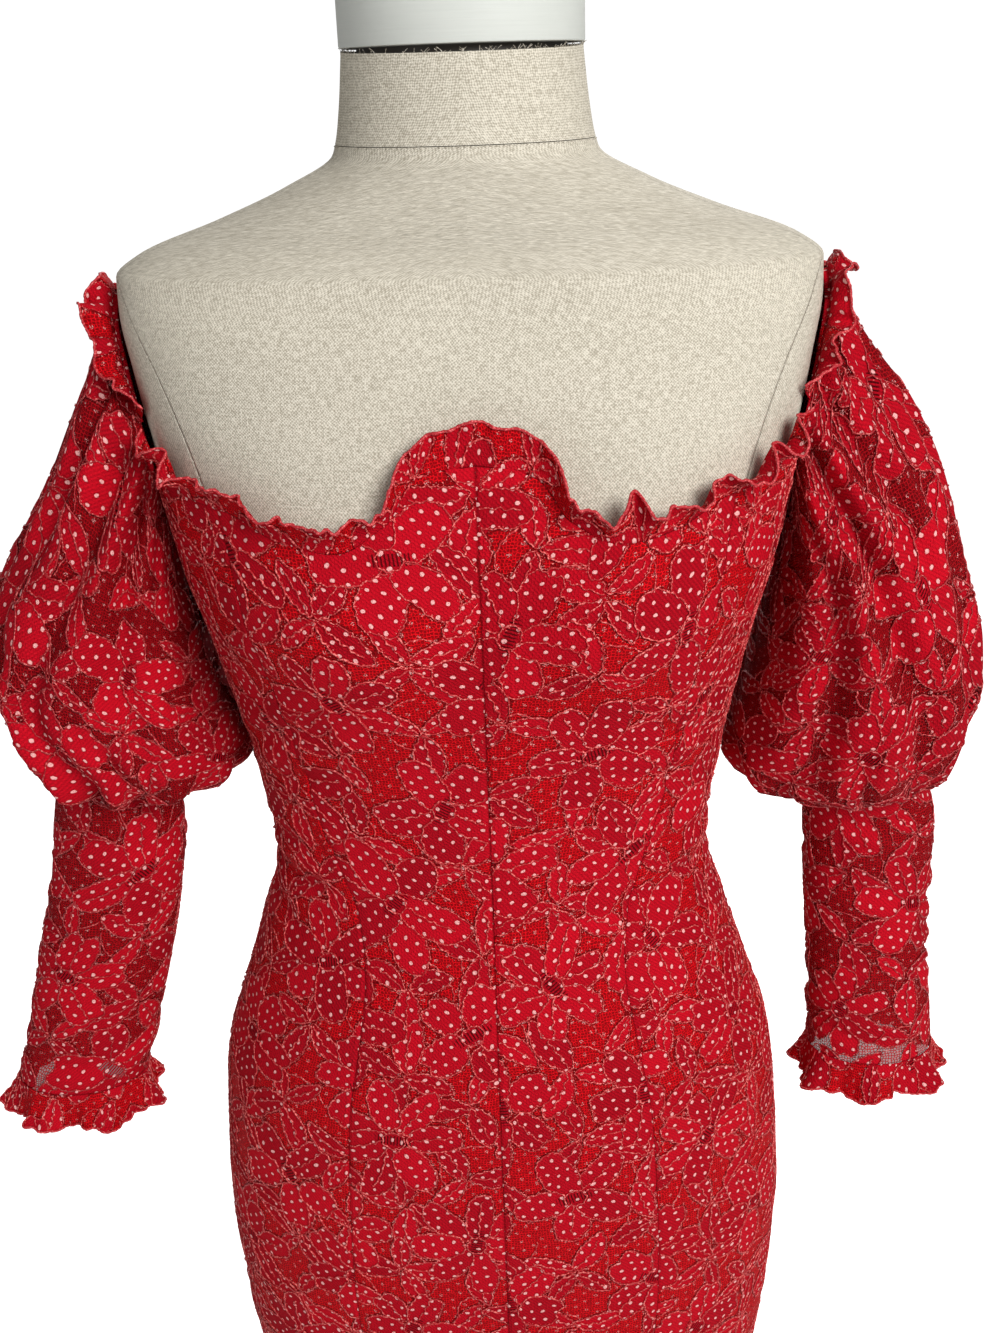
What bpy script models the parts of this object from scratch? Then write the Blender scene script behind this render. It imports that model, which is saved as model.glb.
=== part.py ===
"""Off-shoulder mini dress of corded lace, worn by a limbless dress form on a round stand.

Metres, +Z up. The front faces -Y and the wearer's left is +X.
The origin is on the floor, at the middle of the round base.
"""

import math

import bmesh
import bpy
from mathutils import Vector

# Driving sizes, in metres
WALL = 0.0012            # lace with its net backing
EASE = 0.0007            # from the form's linen to the inside of the dress
SEAM_GAP = 0.0003        # between two pieces at a seam
HEM_Z = 0.500
FORM_BOTTOM_Z = 0.602
NECK_SEAM_Z = 1.351
NECK_TOP_Z = 1.3955
JOIN_TOP_Z = 1.150       # above this level the panels' rows follow the neckline
CHEST_EASE = 0.0010      # more ease over the bust, full from JOIN_TOP_Z up
SEAM_TURN = 30           # degrees from the middle line to a princess seam, below the waist
SEAM_SWING = 14          # how many degrees further out the seam runs over the chest
SWING_LOW_Z, SWING_HIGH_Z = 0.900, 1.030
RUFFLE_HEIGHT = 0.022
SHOULDER_RUFFLE_HEIGHT = 0.018
RUFFLE_STEP = 2.6        # most degrees between two columns of a ruffle
RUFFLE_SLANT = 0.35      # how much a ruffle's rise follows the slant of its seam
SLEEVE_COLUMNS = 40
CUFF_COLUMNS = 48
CUFF_WAVES = 7
CUFF_DROP, CUFF_FLARE, CUFF_WAVE = 0.021, 0.011, 0.0055

# Size of the form at each level, from the middle line to the linen
# (z, half_width, front, back, squareness)
BODY_LEVELS = (
    (0.490, 0.1675, 0.098, 0.112, 2.00),
    (0.553, 0.1725, 0.101, 0.117, 2.00),
    (0.611, 0.1785, 0.104, 0.121, 2.05),
    (0.692, 0.1817, 0.108, 0.130, 2.10),
    (0.760, 0.1777, 0.111, 0.133, 2.10),
    (0.817, 0.1712, 0.111, 0.127, 2.10),
    (0.864, 0.1563, 0.108, 0.114, 2.10),
    (0.908, 0.1414, 0.102, 0.101, 2.10),
    (0.961, 0.1270, 0.094, 0.090, 2.10),
    (1.013, 0.1328, 0.098, 0.091, 2.10),
    (1.060, 0.1410, 0.107, 0.097, 2.15),
    (1.100, 0.1490, 0.114, 0.103, 2.20),
    (1.144, 0.1590, 0.118, 0.109, 2.30),
    (1.180, 0.1660, 0.116, 0.113, 2.40),
    (1.215, 0.1720, 0.108, 0.115, 2.50),
    (1.250, 0.1780, 0.097, 0.113, 2.50),
    (1.280, 0.1822, 0.085, 0.108, 2.50),
    (1.296, 0.1822, 0.078, 0.102, 2.40),
    (1.306, 0.1700, 0.073, 0.097, 2.30),
    (1.321, 0.1290, 0.068, 0.088, 2.20),
    (1.336, 0.0925, 0.064, 0.077, 2.10),
    (1.351, 0.0670, 0.061, 0.066, 2.00),
    (1.372, 0.0625, 0.059, 0.061, 2.00),
    (1.396, 0.0598, 0.0585, 0.0595, 2.00),
)

# Columns round the body, in degrees from the front before the seams' swing
HALF_COLUMNS = (0, 4, 8, 14, 22, 30, 40, 50, 60, 70, 80, 90, 100, 110, 120, 135, 150, 165, 180)
COLUMNS = HALF_COLUMNS + tuple(360 - d for d in reversed(HALF_COLUMNS[1:-1]))

# The bust's fullness on each side
BUST_X, BUST_Z, BUST_FOOT_Z = 0.078, 1.135, 1.088
BUST_LIFT, BUST_SPREAD_X, BUST_SPREAD_Z = 0.022, 0.052, 0.050

# Rows that the form and the dress share, so that their facets nest
SHARED_ROWS = (0.550, 0.600, 0.650, 0.700, 0.750, 0.800, 0.842, 0.882,
               0.922, 0.961, 1.000, 1.035, 1.065, 1.088, 1.108, 1.129, JOIN_TOP_Z)
# The form's own rows above the shared ones
CHEST_ROWS = (1.172, 1.195, 1.225, 1.255, 1.278, 1.290, 1.299,
              1.306, 1.313, 1.321, 1.329, 1.337, 1.344)
NECK_ROWS = (1.360, 1.376)

# Top edge of the body panels, the same on both sides
# (degrees from the front, z)
NECKLINE = (
    (0, 1.2175), (6, 1.2110), (11, 1.1920), (20, 1.1800), (30, 1.1840),
    (41, 1.1945), (53, 1.1975), (64, 1.2060), (75, 1.2010), (90, 1.1720), (104, 1.1990),
    (116, 1.2060), (135, 1.2030), (160, 1.1980), (180, 1.1960),
)

# Top edge of a puff sleeve, on the wearer's left
# (degrees round the sleeve: 0 over the shoulder, 90 front, 180 underarm;
#  out from the form's side, y, z)
SLEEVE_TOP = (
    (0, 0.0040, 0.002, 1.2880), (30, 0.0040, -0.014, 1.2760),
    (60, 0.0040, -0.028, 1.2480), (90, 0.0038, -0.046, 1.2110),
    (120, 0.0038, -0.036, 1.1880), (150, 0.0038, -0.018, 1.1750),
    (180, 0.0038, 0.002, 1.1700), (210, 0.0038, 0.022, 1.1760),
    (240, 0.0038, 0.042, 1.1920), (270, 0.0038, 0.056, 1.2140),
    (300, 0.0040, 0.038, 1.2500), (330, 0.0040, 0.018, 1.2760),
)

# The wearer's right sleeve is pushed up by this much at the puff's lower end
PUSHED_UP = 0.024

# Rings of a puff sleeve. The outer side hangs from x_out, z_out and the side
# next to the body from x_in, z_in. Gather is the depth of the small pleats,
# and top is how far the ring still follows the sleeve's top edge.
# (x_out wearer's right, x_out wearer's left, z_out, x_in, z_in, half_depth, gather, top)
PUFF_RINGS = (
    (0.1905, 0.1905, 1.288, 0.1705, 1.170, 0.044, 0.0000, 1.0),
    (0.1960, 0.1980, 1.272, 0.1690, 1.152, 0.056, 0.0022, 0.7),
    (0.2060, 0.2130, 1.245, 0.1665, 1.130, 0.067, 0.0030, 0.4),
    (0.2200, 0.2340, 1.215, 0.1630, 1.108, 0.074, 0.0026, 0.2),
    (0.2400, 0.2550, 1.175, 0.1580, 1.085, 0.079, 0.0016, 0.1),
    (0.2700, 0.2720, 1.127, 0.1530, 1.062, 0.081, 0.0008, 0.0),
    (0.2830, 0.2825, 1.085, 0.1465, 1.042, 0.080, 0.0010, 0.0),
    (0.2815, 0.2868, 1.050, 0.1430, 1.024, 0.077, 0.0018, 0.0),
    (0.2700, 0.2815, 1.020, 0.1430, 1.008, 0.069, 0.0028, 0.0),
    (0.2640, 0.2735, 1.002, 0.1520, 0.995, 0.059, 0.0032, 0.0),
    (0.2622, 0.2682, 0.993, 0.1680, 0.988, 0.047, 0.0022, 0.0),
    (0.2585, 0.2640, 0.989, 0.1850, 0.987, 0.037, 0.0008, 0.0),
    (0.2547, 0.2596, 0.996, 0.1939, 0.995, 0.0295, 0.0000, 0.0),
)
SLEEVE_MIDDLE_Y = 0.002
PLEATS = 12
FIRST_EVEN_RING = 8      # from here down the small pleats are as deep next to the body
LAST_FOLDED_RING = 10    # below here the large folds are caught in the seam

# Large soft folds of the puff sleeves, with their middle and reach as ring numbers
# (side: -1 wearer's right, degrees round the sleeve, width, ring, reach, depth)
PUFF_FOLDS = (
    (1, 86, 17, 3.0, 3.2, 0.0110),
    (1, 58, 12, 2.6, 2.2, 0.0060),
    (1, 28, 13, 3.2, 2.6, 0.0055),
    (1, 118, 16, 6.5, 2.6, 0.0070),
    (1, 62, 15, 7.6, 2.2, 0.0065),
    (1, 20, 14, 8.4, 1.8, 0.0050),
    (1, 232, 18, 4.6, 3.6, 0.0080),
    (1, 292, 15, 3.2, 2.6, 0.0070),
    (-1, 70, 14, 3.0, 2.6, 0.0075),
    (-1, 104, 17, 4.0, 3.6, 0.0090),
    (-1, 36, 14, 3.6, 2.6, 0.0050),
    (-1, 84, 15, 7.8, 2.2, 0.0070),
    (-1, 30, 14, 7.4, 2.4, 0.0060),
    (-1, 238, 18, 4.2, 3.4, 0.0080),
    (-1, 300, 15, 3.6, 2.8, 0.0070),
)

# Fitted lower sleeves, from the seam under the puff down to the cuff
# (share of the way down, x wearer's right, half_width, x wearer's left, half_width, half_depth)
LOWER_SLEEVE = (
    (0.00, -0.2243, 0.0298, 0.2268, 0.0322, 0.0290),
    (0.05, -0.2243, 0.0303, 0.2270, 0.0326, 0.0292),
    (0.13, -0.2240, 0.0372, 0.2300, 0.0385, 0.0300),
    (0.24, -0.2270, 0.0396, 0.2318, 0.0396, 0.0296),
    (0.42, -0.2355, 0.0408, 0.2335, 0.0388, 0.0280),
    (0.62, -0.2480, 0.0418, 0.2360, 0.0380, 0.0275),
    (0.84, -0.2630, 0.0420, 0.2405, 0.0388, 0.0285),
    (1.00, -0.2745, 0.0415, 0.2430, 0.0400, 0.0300),
)
LOWER_SLEEVE_TOP_Z = {-1: 1.001 + PUSHED_UP, 1: 1.001}
CUFF_Z = {-1: 0.790, 1: 0.793}

# Lean of the neckline ruffle round the front: 90 stands up, 0 juts out, below 0 flops over
# (degrees from the front, wearer's right is minus; lean; share of the ruffle's height)
RUFFLE_FRONT = (
    (-67, 70, 1.0), (-62, 25, 0.9), (-57, 65, 1.0), (-52, 5, 1.0), (-47, 55, 0.8), (-42, 30, 0.8),
    (-37, 55, 0.8), (-32, 30, 0.8), (-26, 50, 0.8), (-20, 32, 0.9), (-15, 45, 0.8), (-12, 20, 0.6),
    (-9, 45, 0.6), (-7, 82, 0.7), (-4, 88, 0.85), (0, 84, 0.95), (4, 88, 0.9), (7, 80, 0.85),
    (9, 55, 0.75), (12, 25, 0.75), (15, 45, 0.7), (18, 30, 0.8), (22, 86, 1.2), (25, 30, 0.8),
    (29, 50, 0.8), (33, 10, 0.8), (37, 62, 0.75), (41, 25, 0.7), (46, -15, 0.9), (51, 65, 1.0),
    (56, 5, 1.0), (62, 70, 1.0), (67, 60, 1.0),
)
# (degrees round the back from the wearer's left corner; lean; share of the ruffle's height)
RUFFLE_BACK = (
    (115, 80, 1), (122, 50, 1), (128, 10, 1), (137, 75, 1), (146, -15, 1), (156, 70, 1),
    (164, 15, 1), (173, 82, 1), (183, 30, 1), (192, 84, 1), (201, -10, 1), (211, 72, 1),
    (220, 5, 1), (230, 70, 1), (238, 40, 1), (245, 80, 1),
)
# Lean of the ruffle over each shoulder, by degrees round the sleeve's top
# (degrees, wearer's right, wearer's left, share of the ruffle's height)
RUFFLE_SHOULDER = (
    (-76.5, 70, 70, 1.0), (-68, 35, 0, 1.0), (-58, -5, 50, 1.0), (-48, 45, 0, 1.0),
    (-38, -10, 40, 1.0), (-29, 35, 55, 0.9), (-20, -5, 0, 0.8), (-11, 40, 25, 0.6),
    (-3, 30, 45, 0.6), (5, 50, 35, 0.6), (13, 0, -20, 0.8), (21, -25, 30, 1.0),
    (30, 10, 55, 1.1), (39, -20, 10, 0.9), (48, 10, -10, 1.0), (57, -25, 35, 1.0),
    (66, 20, 5, 1.0), (76.5, 60, 60, 1.0),
)

# Stand and neck cap
BASE_RADIUS, BASE_THICKNESS = 0.190, 0.011
HUB_RADIUS, HUB_TOP_Z = 0.031, 0.060
POLE_RADIUS = 0.016
CAP_RADIUS, CAP_BOTTOM_Z, CAP_TOP_Z = 0.0606, 1.3990, 1.4440
CAP_PLUG_RADIUS = 0.052

# Concealed zip down the middle of the back
ZIP_BOTTOM_Z = 0.800
ZIP_HALF_WIDTH = 0.0012
ZIP_TOP_DROP = 0.004     # below the neckline
SLIDER_SIZE = (0.0064, 0.0020, 0.0100)
SLIDER_Z = 1.180
PIN_RADIUS, EYE_BORE, EYE_RADIUS = 0.00045, 0.00078, 0.0014
PIN_STAND_OFF = 0.0018   # from the slider's face to the pin's middle
PIN_DROP = 0.0024        # from the slider's top to the pin's middle
EAR_THICKNESS, EAR_INSIDE, EAR_REACH = 0.0009, 0.0015, 0.0014
TAB_LENGTH, TAB_WIDTH, TAB_THICKNESS = 0.0190, 0.0054, 0.0011

COLOURS = {
    "lace": ((0.55, 0.005, 0.012, 1), 0.75, 0.0),
    "linen": ((0.60, 0.54, 0.43, 1), 0.90, 0.0),
    "cap": ((0.80, 0.80, 0.76, 1), 0.45, 0.0),
    "steel": ((0.42, 0.42, 0.43, 1), 0.35, 1.0),
    "zip": ((0.45, 0.01, 0.02, 1), 0.35, 0.6),
}


def smooth(table, at, column):
    """Value of one column of a table at a place in its first column, on a curve with no overshoot."""
    if at <= table[0][0]:
        return table[0][column]
    if at >= table[-1][0]:
        return table[-1][column]
    i = max(k for k in range(len(table) - 1) if table[k][0] <= at)
    slopes = [(table[k + 1][column] - table[k][column]) / (table[k + 1][0] - table[k][0])
              for k in range(len(table) - 1)]

    def tangent(k):
        if k == 0 or k == len(table) - 1:
            return slopes[min(k, len(slopes) - 1)]
        before, after = slopes[k - 1], slopes[k]
        if before * after <= 0:
            return 0.0
        return 2 * before * after / (before + after)

    span = table[i + 1][0] - table[i][0]
    t = (at - table[i][0]) / span
    t2, t3 = t * t, t * t * t
    return ((2 * t3 - 3 * t2 + 1) * table[i][column] + (t3 - 2 * t2 + t) * span * tangent(i)
            + (3 * t2 - 2 * t3) * table[i + 1][column] + (t3 - t2) * span * tangent(i + 1))


def round_table(table):
    """The same table with a row added at each end, for a column of degrees that comes full circle."""
    before = (table[-1][0] - 360,) + tuple(table[-1][1:])
    after = tuple((row[0] + 360,) + tuple(row[1:]) for row in table[:2])
    return (before,) + tuple(table) + after


def section_point(z, degrees):
    """Point of the form's outline at one level, by degrees from the front."""
    half_width, front, back, square = (smooth(BODY_LEVELS, z, c) for c in (1, 2, 3, 4))
    s, c = math.sin(math.radians(degrees)), math.cos(math.radians(degrees))
    power = 2 / square
    x = half_width * math.copysign(abs(s) ** power, s)
    y = -(front if c > 0 else back) * math.copysign(abs(c) ** power, c)
    if c > 0:
        across = ((abs(x) - BUST_X) / BUST_SPREAD_X) ** 2
        along = ((z - BUST_Z) / BUST_SPREAD_Z) ** 2
        y -= BUST_LIFT * math.exp(-across - along) * min(1.0, 3 * c)
    return Vector((x, y, z))


def outward(z, degrees):
    """Level direction straight out of the form."""
    along = section_point(z, degrees + 1) - section_point(z, degrees - 1)
    return Vector((-along.y, along.x, 0)).normalized() * -1


def swung(column, z):
    """Degrees from the front of a column at one level, as the seams swing out over the chest."""
    share = min(max((z - SWING_LOW_Z) / (SWING_HIGH_Z - SWING_LOW_Z), 0.0), 1.0)
    swing = SEAM_SWING * share * share * (3 - 2 * share)
    turn = (column + 180) % 360 - 180
    from_middle = min(abs(turn), 180 - abs(turn))
    if from_middle < SEAM_TURN:
        moved = from_middle * (SEAM_TURN + swing) / SEAM_TURN
    else:
        moved = 90 - (90 - from_middle) * (90 - SEAM_TURN - swing) / (90 - SEAM_TURN)
    if abs(turn) > 90:
        moved = 180 - moved
    return math.copysign(moved, turn)


def body_point(z, degrees, out=0.0):
    """Point that lies out from the form's linen."""
    return section_point(z, degrees) + outward(z, degrees) * out


def cloth_point(z, degrees, out=0.0):
    """Point of the dress's body, out from the inside of its cloth."""
    share = min(max((z - BUST_FOOT_Z) / (JOIN_TOP_Z - BUST_FOOT_Z), 0.0), 1.0)
    return body_point(z, degrees, EASE + CHEST_EASE * share + out)


def neckline_z(degrees):
    return smooth(NECKLINE, abs((degrees + 180) % 360 - 180), 1)


def make_object(name, mesh, look):
    """One named object with its own material, shaded smooth between its sharp edges."""
    colour, roughness, metallic = COLOURS[look]
    material = bpy.data.materials.new(name)
    material.use_nodes = True
    shader = material.node_tree.nodes["Principled BSDF"]
    shader.inputs["Base Color"].default_value = colour
    shader.inputs["Roughness"].default_value = roughness
    shader.inputs["Metallic"].default_value = metallic
    mesh.materials.append(material)
    mesh.shade_smooth()
    mesh.set_sharp_from_angle(angle=math.radians(50))
    thing = bpy.data.objects.new(name, mesh)
    bpy.context.scene.collection.objects.link(thing)
    return thing


def mesh_from(name, points, faces):
    """A mesh with all its faces turned outwards."""
    mesh = bpy.data.meshes.new(name)
    mesh.from_pydata(points, [], faces)
    work = bmesh.new()
    work.from_mesh(mesh)
    bmesh.ops.recalc_face_normals(work, faces=work.faces)
    work.to_mesh(mesh)
    work.free()
    return mesh


def cloth_wall(name, outer, inner, closed, look="lace"):
    """A cloth wall between two grids of points. Each grid is a list of rows, and closed rows join up."""
    rows, columns = len(outer), len(outer[0])
    points = [p for row in outer for p in row] + [p for row in inner for p in row]
    inside = rows * columns
    faces = []
    around = columns if closed else columns - 1
    for r in range(rows - 1):
        for c in range(around):
            a, b = r * columns + c, r * columns + (c + 1) % columns
            d, e = a + columns, b + columns
            faces += [(a, b, e), (a, e, d)]
            faces += [(inside + a, inside + e, inside + b), (inside + a, inside + d, inside + e)]
    for r in (0, rows - 1):
        for c in range(around):
            a, b = r * columns + c, r * columns + (c + 1) % columns
            faces.append((a, inside + a, inside + b, b))
    if not closed:
        for c in (0, columns - 1):
            for r in range(rows - 1):
                a, b = r * columns + c, (r + 1) * columns + c
                faces.append((a, b, inside + b, inside + a))
    return make_object(name, mesh_from(name, points, faces), look)


def inner_grid(outer, side):
    """A sleeve's closed grid moved in by the cloth's thickness, level at its ends."""
    rows, columns = len(outer), len(outer[0])
    moved = []
    for r in range(rows):
        line = []
        for c in range(columns):
            across = outer[r][(c + 1) % columns] - outer[r][c - 1]
            down = outer[min(r + 1, rows - 1)][c] - outer[max(r - 1, 0)][c]
            normal = across.cross(down) * side
            if r in (0, rows - 1):
                normal.z = 0
            line.append(outer[r][c] - normal.normalized() * WALL)
        moved.append(line)
    return moved


def column_top_z(column):
    return neckline_z(swung(column, SWING_HIGH_Z))


def panel_rows(column):
    """Levels of one column of a body panel, from the hem to the neckline."""
    top = column_top_z(column)
    upper = [JOIN_TOP_Z + (top - JOIN_TOP_Z) * share for share in (0.5, 1.0)]
    return [HEM_Z, *SHARED_ROWS, *upper]


def seam_inset(seam, row_z):
    """How far a panel's edge stays back from the middle of a seam."""
    if abs(seam) == 180 and row_z >= ZIP_BOTTOM_Z:
        return ZIP_HALF_WIDTH + SEAM_GAP
    return SEAM_GAP / 2


def panel_grid(start, end, out):
    """Grid of a body panel between two seams, by columns."""
    columns = [d for d in range(start, end + 1) if d % 360 in COLUMNS]
    levels = [panel_rows(d) for d in columns]
    grid = []
    for r in range(len(levels[0])):
        row = [cloth_point(levels[i][r], swung(d, levels[i][r]), out) for i, d in enumerate(columns)]
        for edge, neighbour, seam in ((0, 1, start), (-1, -2, end)):
            inset = seam_inset(seam, row[edge].z)
            row[edge] = row[edge] + (row[neighbour] - row[edge]).normalized() * inset
        grid.append(row)
    return grid


def body_panels():
    """The eight panels of the sheath, each from the hem to the neckline."""
    cuts = (
        ("front_centre_left", 0, 30), ("front_side_left", 30, 90),
        ("back_side_left", 90, 150), ("back_centre_left", 150, 180),
        ("front_centre_right", -30, 0), ("front_side_right", -90, -30),
        ("back_side_right", -150, -90), ("back_centre_right", -180, -150),
    )
    for name, start, end in cuts:
        outer = panel_grid(start, end, WALL)
        inner = panel_grid(start, end, 0.0)
        cloth_wall(name, outer, inner, closed=False)


def side_x(y, z):
    """How far out the form's side is at a level, by how far forward or back."""
    half_width, front, back, square = (smooth(BODY_LEVELS, z, c) for c in (1, 2, 3, 4))
    share = abs(y) / (front if y < 0 else back)
    return half_width * (1 - share ** square) ** (1 / square)


def sleeve_top_point(degrees, side):
    table = round_table(SLEEVE_TOP)
    out, y, z = (smooth(table, degrees % 360, c) for c in (1, 2, 3))
    return Vector((side * (side_x(y, z) + out), y, z))


def puff_point(ring, degrees, side):
    """Point on the outside of a puff sleeve."""
    right, left, z_out, x_in, z_in, half_depth, gather, top = PUFF_RINGS[ring]
    x_out = left if side > 0 else right
    if side < 0:
        raised = PUSHED_UP * (ring / (len(PUFF_RINGS) - 1)) ** 1.5
        z_out, z_in = z_out + raised, z_in + raised
    turn = math.radians(degrees)
    middle = Vector((side * (x_out + x_in) / 2, SLEEVE_MIDDLE_Y, (z_out + z_in) / 2))
    reach = Vector((side * (x_out - x_in) / 2, 0, (z_out - z_in) / 2))
    out = Vector((side * math.cos(turn), -math.sin(turn), 0))
    point = middle + reach * math.cos(turn) + Vector((0, -half_depth, 0)) * math.sin(turn)
    if top:
        first = PUFF_RINGS[0]
        start_mid = Vector((side * (first[1] + first[3]) / 2, SLEEVE_MIDDLE_Y, (first[2] + first[4]) / 2))
        start_reach = Vector((side * (first[1] - first[3]) / 2, 0, (first[2] - first[4]) / 2))
        plain = (start_mid + start_reach * math.cos(turn)
                 + Vector((0, -first[5], 0)) * math.sin(turn))
        point += (sleeve_top_point(degrees, side) - plain) * top
    fullness = max(0.0, 0.35 + 0.65 * math.cos(turn)) if ring < FIRST_EVEN_RING else 1.0
    point += out * gather * math.cos(PLEATS * turn) * fullness
    for fold_side, at, width, fold_ring, length, depth in PUFF_FOLDS:
        if fold_side == side and 0 < ring <= LAST_FOLDED_RING:
            across = ((degrees - at + 180) % 360 - 180) / width
            along = (ring - fold_ring) / length
            point -= out * depth * math.exp(-across ** 2 - along ** 2)
    return point


def sleeve_top_facing(degrees, side):
    """Level direction that the casing along a sleeve's top faces: away from the form
    over the shoulder, and towards the body's side at the underarm."""
    along, across = math.cos(math.radians(degrees)), math.sin(math.radians(degrees))
    return Vector((side * (0.6 + along * (1.0 if along > 0 else 3.2)), -across, 0)).normalized()


def puff_grids(side):
    """The outside and the inside of a puff sleeve, as rows from its top edge down."""
    turns = [c * 360 / SLEEVE_COLUMNS for c in range(SLEEVE_COLUMNS)]
    outer = [[puff_point(r, turn, side) for turn in turns] for r in range(len(PUFF_RINGS))]
    inner = inner_grid(outer, side)
    inner[0] = [p - sleeve_top_facing(turn, side) * WALL for p, turn in zip(outer[0], turns)]
    return outer, inner


def lower_sleeve_point(share, degrees, side, drop=0.0, flare=0.0):
    """Point of a lower sleeve, or of the cuff below it by drop and out from it by flare."""
    x, half_width = (smooth(LOWER_SLEEVE, share, c) for c in ((3, 4) if side > 0 else (1, 2)))
    half_depth = smooth(LOWER_SLEEVE, share, 5)
    turn = math.radians(degrees)
    top = LOWER_SLEEVE_TOP_Z[side]
    z = top + (CUFF_Z[side] - top) * share - drop
    return Vector((x + side * math.cos(turn) * (half_width + flare),
                   SLEEVE_MIDDLE_Y - math.sin(turn) * (half_depth + flare), z))


def lower_sleeve(name, side, columns=24):
    outer = [[lower_sleeve_point(row[0], c * 360 / columns, side) for c in range(columns)]
             for row in LOWER_SLEEVE]
    cloth_wall(name, outer, inner_grid(outer, side), closed=True)


def cuff_ruffle(name, side):
    """A frill at the end of a sleeve, that flares and waves."""
    outer = []
    for share in (0.0, 0.45, 1.0):
        row = []
        for c in range(CUFF_COLUMNS):
            degrees = c * 360 / CUFF_COLUMNS
            turn = math.radians(degrees)
            wave = math.cos(CUFF_WAVES * turn + side) + 0.35 * math.cos(3 * turn - 1.0)
            flare = CUFF_FLARE * share ** 1.4 + CUFF_WAVE * share * wave
            drop = SEAM_GAP + CUFF_DROP * share * (1 - 0.10 * math.cos(CUFF_WAVES * turn + side + 1.2))
            row.append(lower_sleeve_point(1.0, degrees, side, drop, flare))
        outer.append(row)
    cloth_wall(name, outer, inner_grid(outer, side), closed=True)


def ruffle_column(base_out, base_in, up, out, lean, height):
    """The two faces of one column of a ruffle, that bends from upright at its seam to its lean."""
    shares, bends = (0.30, 0.35, 0.35), (0.30, 0.75, 1.0)
    point = (base_out + base_in) / 2
    half = (base_out - base_in).length / 2
    outside, inside = [base_out], [base_in]
    for i, (share, bend) in enumerate(zip(shares, bends)):
        angle = math.radians(90 + (lean - 90) * bend)
        point = point + (up * math.sin(angle) + out * math.cos(angle)) * height * share
        following = bends[i + 1] if i + 1 < len(bends) else bend
        mean = math.radians(90 + (lean - 90) * (bend + following) / 2)
        normal = out * math.sin(mean) - up * math.cos(mean)
        outside.append(point + normal * half)
        inside.append(point - normal * half)
    return outside, inside


def ruffle(name, columns):
    """A ruffle from its columns, each a pair of faces from the seam to the free edge."""
    rows = range(len(columns[0][0]))
    outer = [[column[0][r] for column in columns] for r in rows]
    inner = [[column[1][r] for column in columns] for r in rows]
    cloth_wall(name, outer, inner, closed=False)


def body_ruffle(name, table, start, end):
    """Ruffle along the neckline of the body panels, from one of their columns to another."""
    corners = [d for d in range(start, end + 1) if d % 360 in COLUMNS]
    columns = []
    for first, last in zip(corners, corners[1:]):
        outside, inside = ([cloth_point(column_top_z(c), swung(c, SWING_HIGH_Z), out)
                            for c in (first, last)] for out in (WALL, 0.0))
        along = (outside[1] - outside[0]).normalized()
        square_up = (Vector((0, 0, 1)) - along * along.z).normalized()
        pieces = math.ceil((last - first) / RUFFLE_STEP)
        for i in range(pieces + (last == end)):
            share = i / pieces
            up = (square_up * RUFFLE_SLANT + Vector((0, 0, 1))).normalized()
            lift = square_up * SEAM_GAP
            column = first + (last - first) * share
            degrees = swung(column, SWING_HIGH_Z)
            base_out, base_in = outside[0].lerp(outside[1], share), inside[0].lerp(inside[1], share)
            lean, tall = (smooth(table, degrees % 360 if start > 0 else degrees, c) for c in (1, 2))
            out = outward(base_out.z, degrees)
            if column == 180:
                up = Vector((0, 0, 1))
                lift = Vector((SEAM_GAP / 2 * (1 if end == 180 else -1), 0, SEAM_GAP))
            columns.append(ruffle_column(base_out + lift, base_in + lift, up, out, lean,
                                         RUFFLE_HEIGHT * tall))
    ruffle(name, columns)


def along_row(row, at):
    """Point on the straight pieces between a row's points, and the way along them."""
    first = math.floor(at)
    start, end = row[first % len(row)], row[(first + 1) % len(row)]
    return start.lerp(end, at - first), (end - start).normalized()


def sleeve_with_ruffle(word, side):
    """A puff sleeve, and the ruffle along its top over the shoulder from the back to the front."""
    outer, inner = puff_grids(side)
    cloth_wall(f"puff_sleeve_{word}", outer, inner, closed=True)
    start, end = RUFFLE_SHOULDER[0][0], RUFFLE_SHOULDER[-1][0]
    column_of = 2 if side > 0 else 1
    columns = []
    step = 180 / SLEEVE_COLUMNS
    for i in range(round((end - start) / step) + 1):
        degrees = start + step * i
        at = degrees / 360 * SLEEVE_COLUMNS
        base_out, along = along_row(outer[0], at)
        base_in, _ = along_row(inner[0], at)
        facing = sleeve_top_facing(degrees, side)
        out = (facing - along * facing.dot(along)).normalized()
        up = along.cross(out) * side
        lift = along.cross(base_out - base_in).normalized() * side * SEAM_GAP
        lean, tall = (smooth(RUFFLE_SHOULDER, degrees, c) for c in (column_of, 3))
        columns.append(ruffle_column(base_out + lift, base_in + lift, up, out, lean,
                                     SHOULDER_RUFFLE_HEIGHT * tall))
    ruffle(f"shoulder_ruffle_{word}", columns)


def ring_solid(name, rings, look):
    """A closed solid through level rings of points, capped at both ends."""
    columns = len(rings[0])
    points = [p for ring in rings for p in ring]
    faces = []
    for r in range(len(rings) - 1):
        for c in range(columns):
            a, b = r * columns + c, r * columns + (c + 1) % columns
            faces += [(a, b, b + columns), (a, b + columns, a + columns)]
    faces.append(tuple(range(columns - 1, -1, -1)))
    last = (len(rings) - 1) * columns
    faces.append(tuple(range(last, last + columns)))
    return make_object(name, mesh_from(name, points, faces), look)


def form_ring(z, inset=0.0):
    return [body_point(z, swung(d, z), -inset) for d in COLUMNS]


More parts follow.
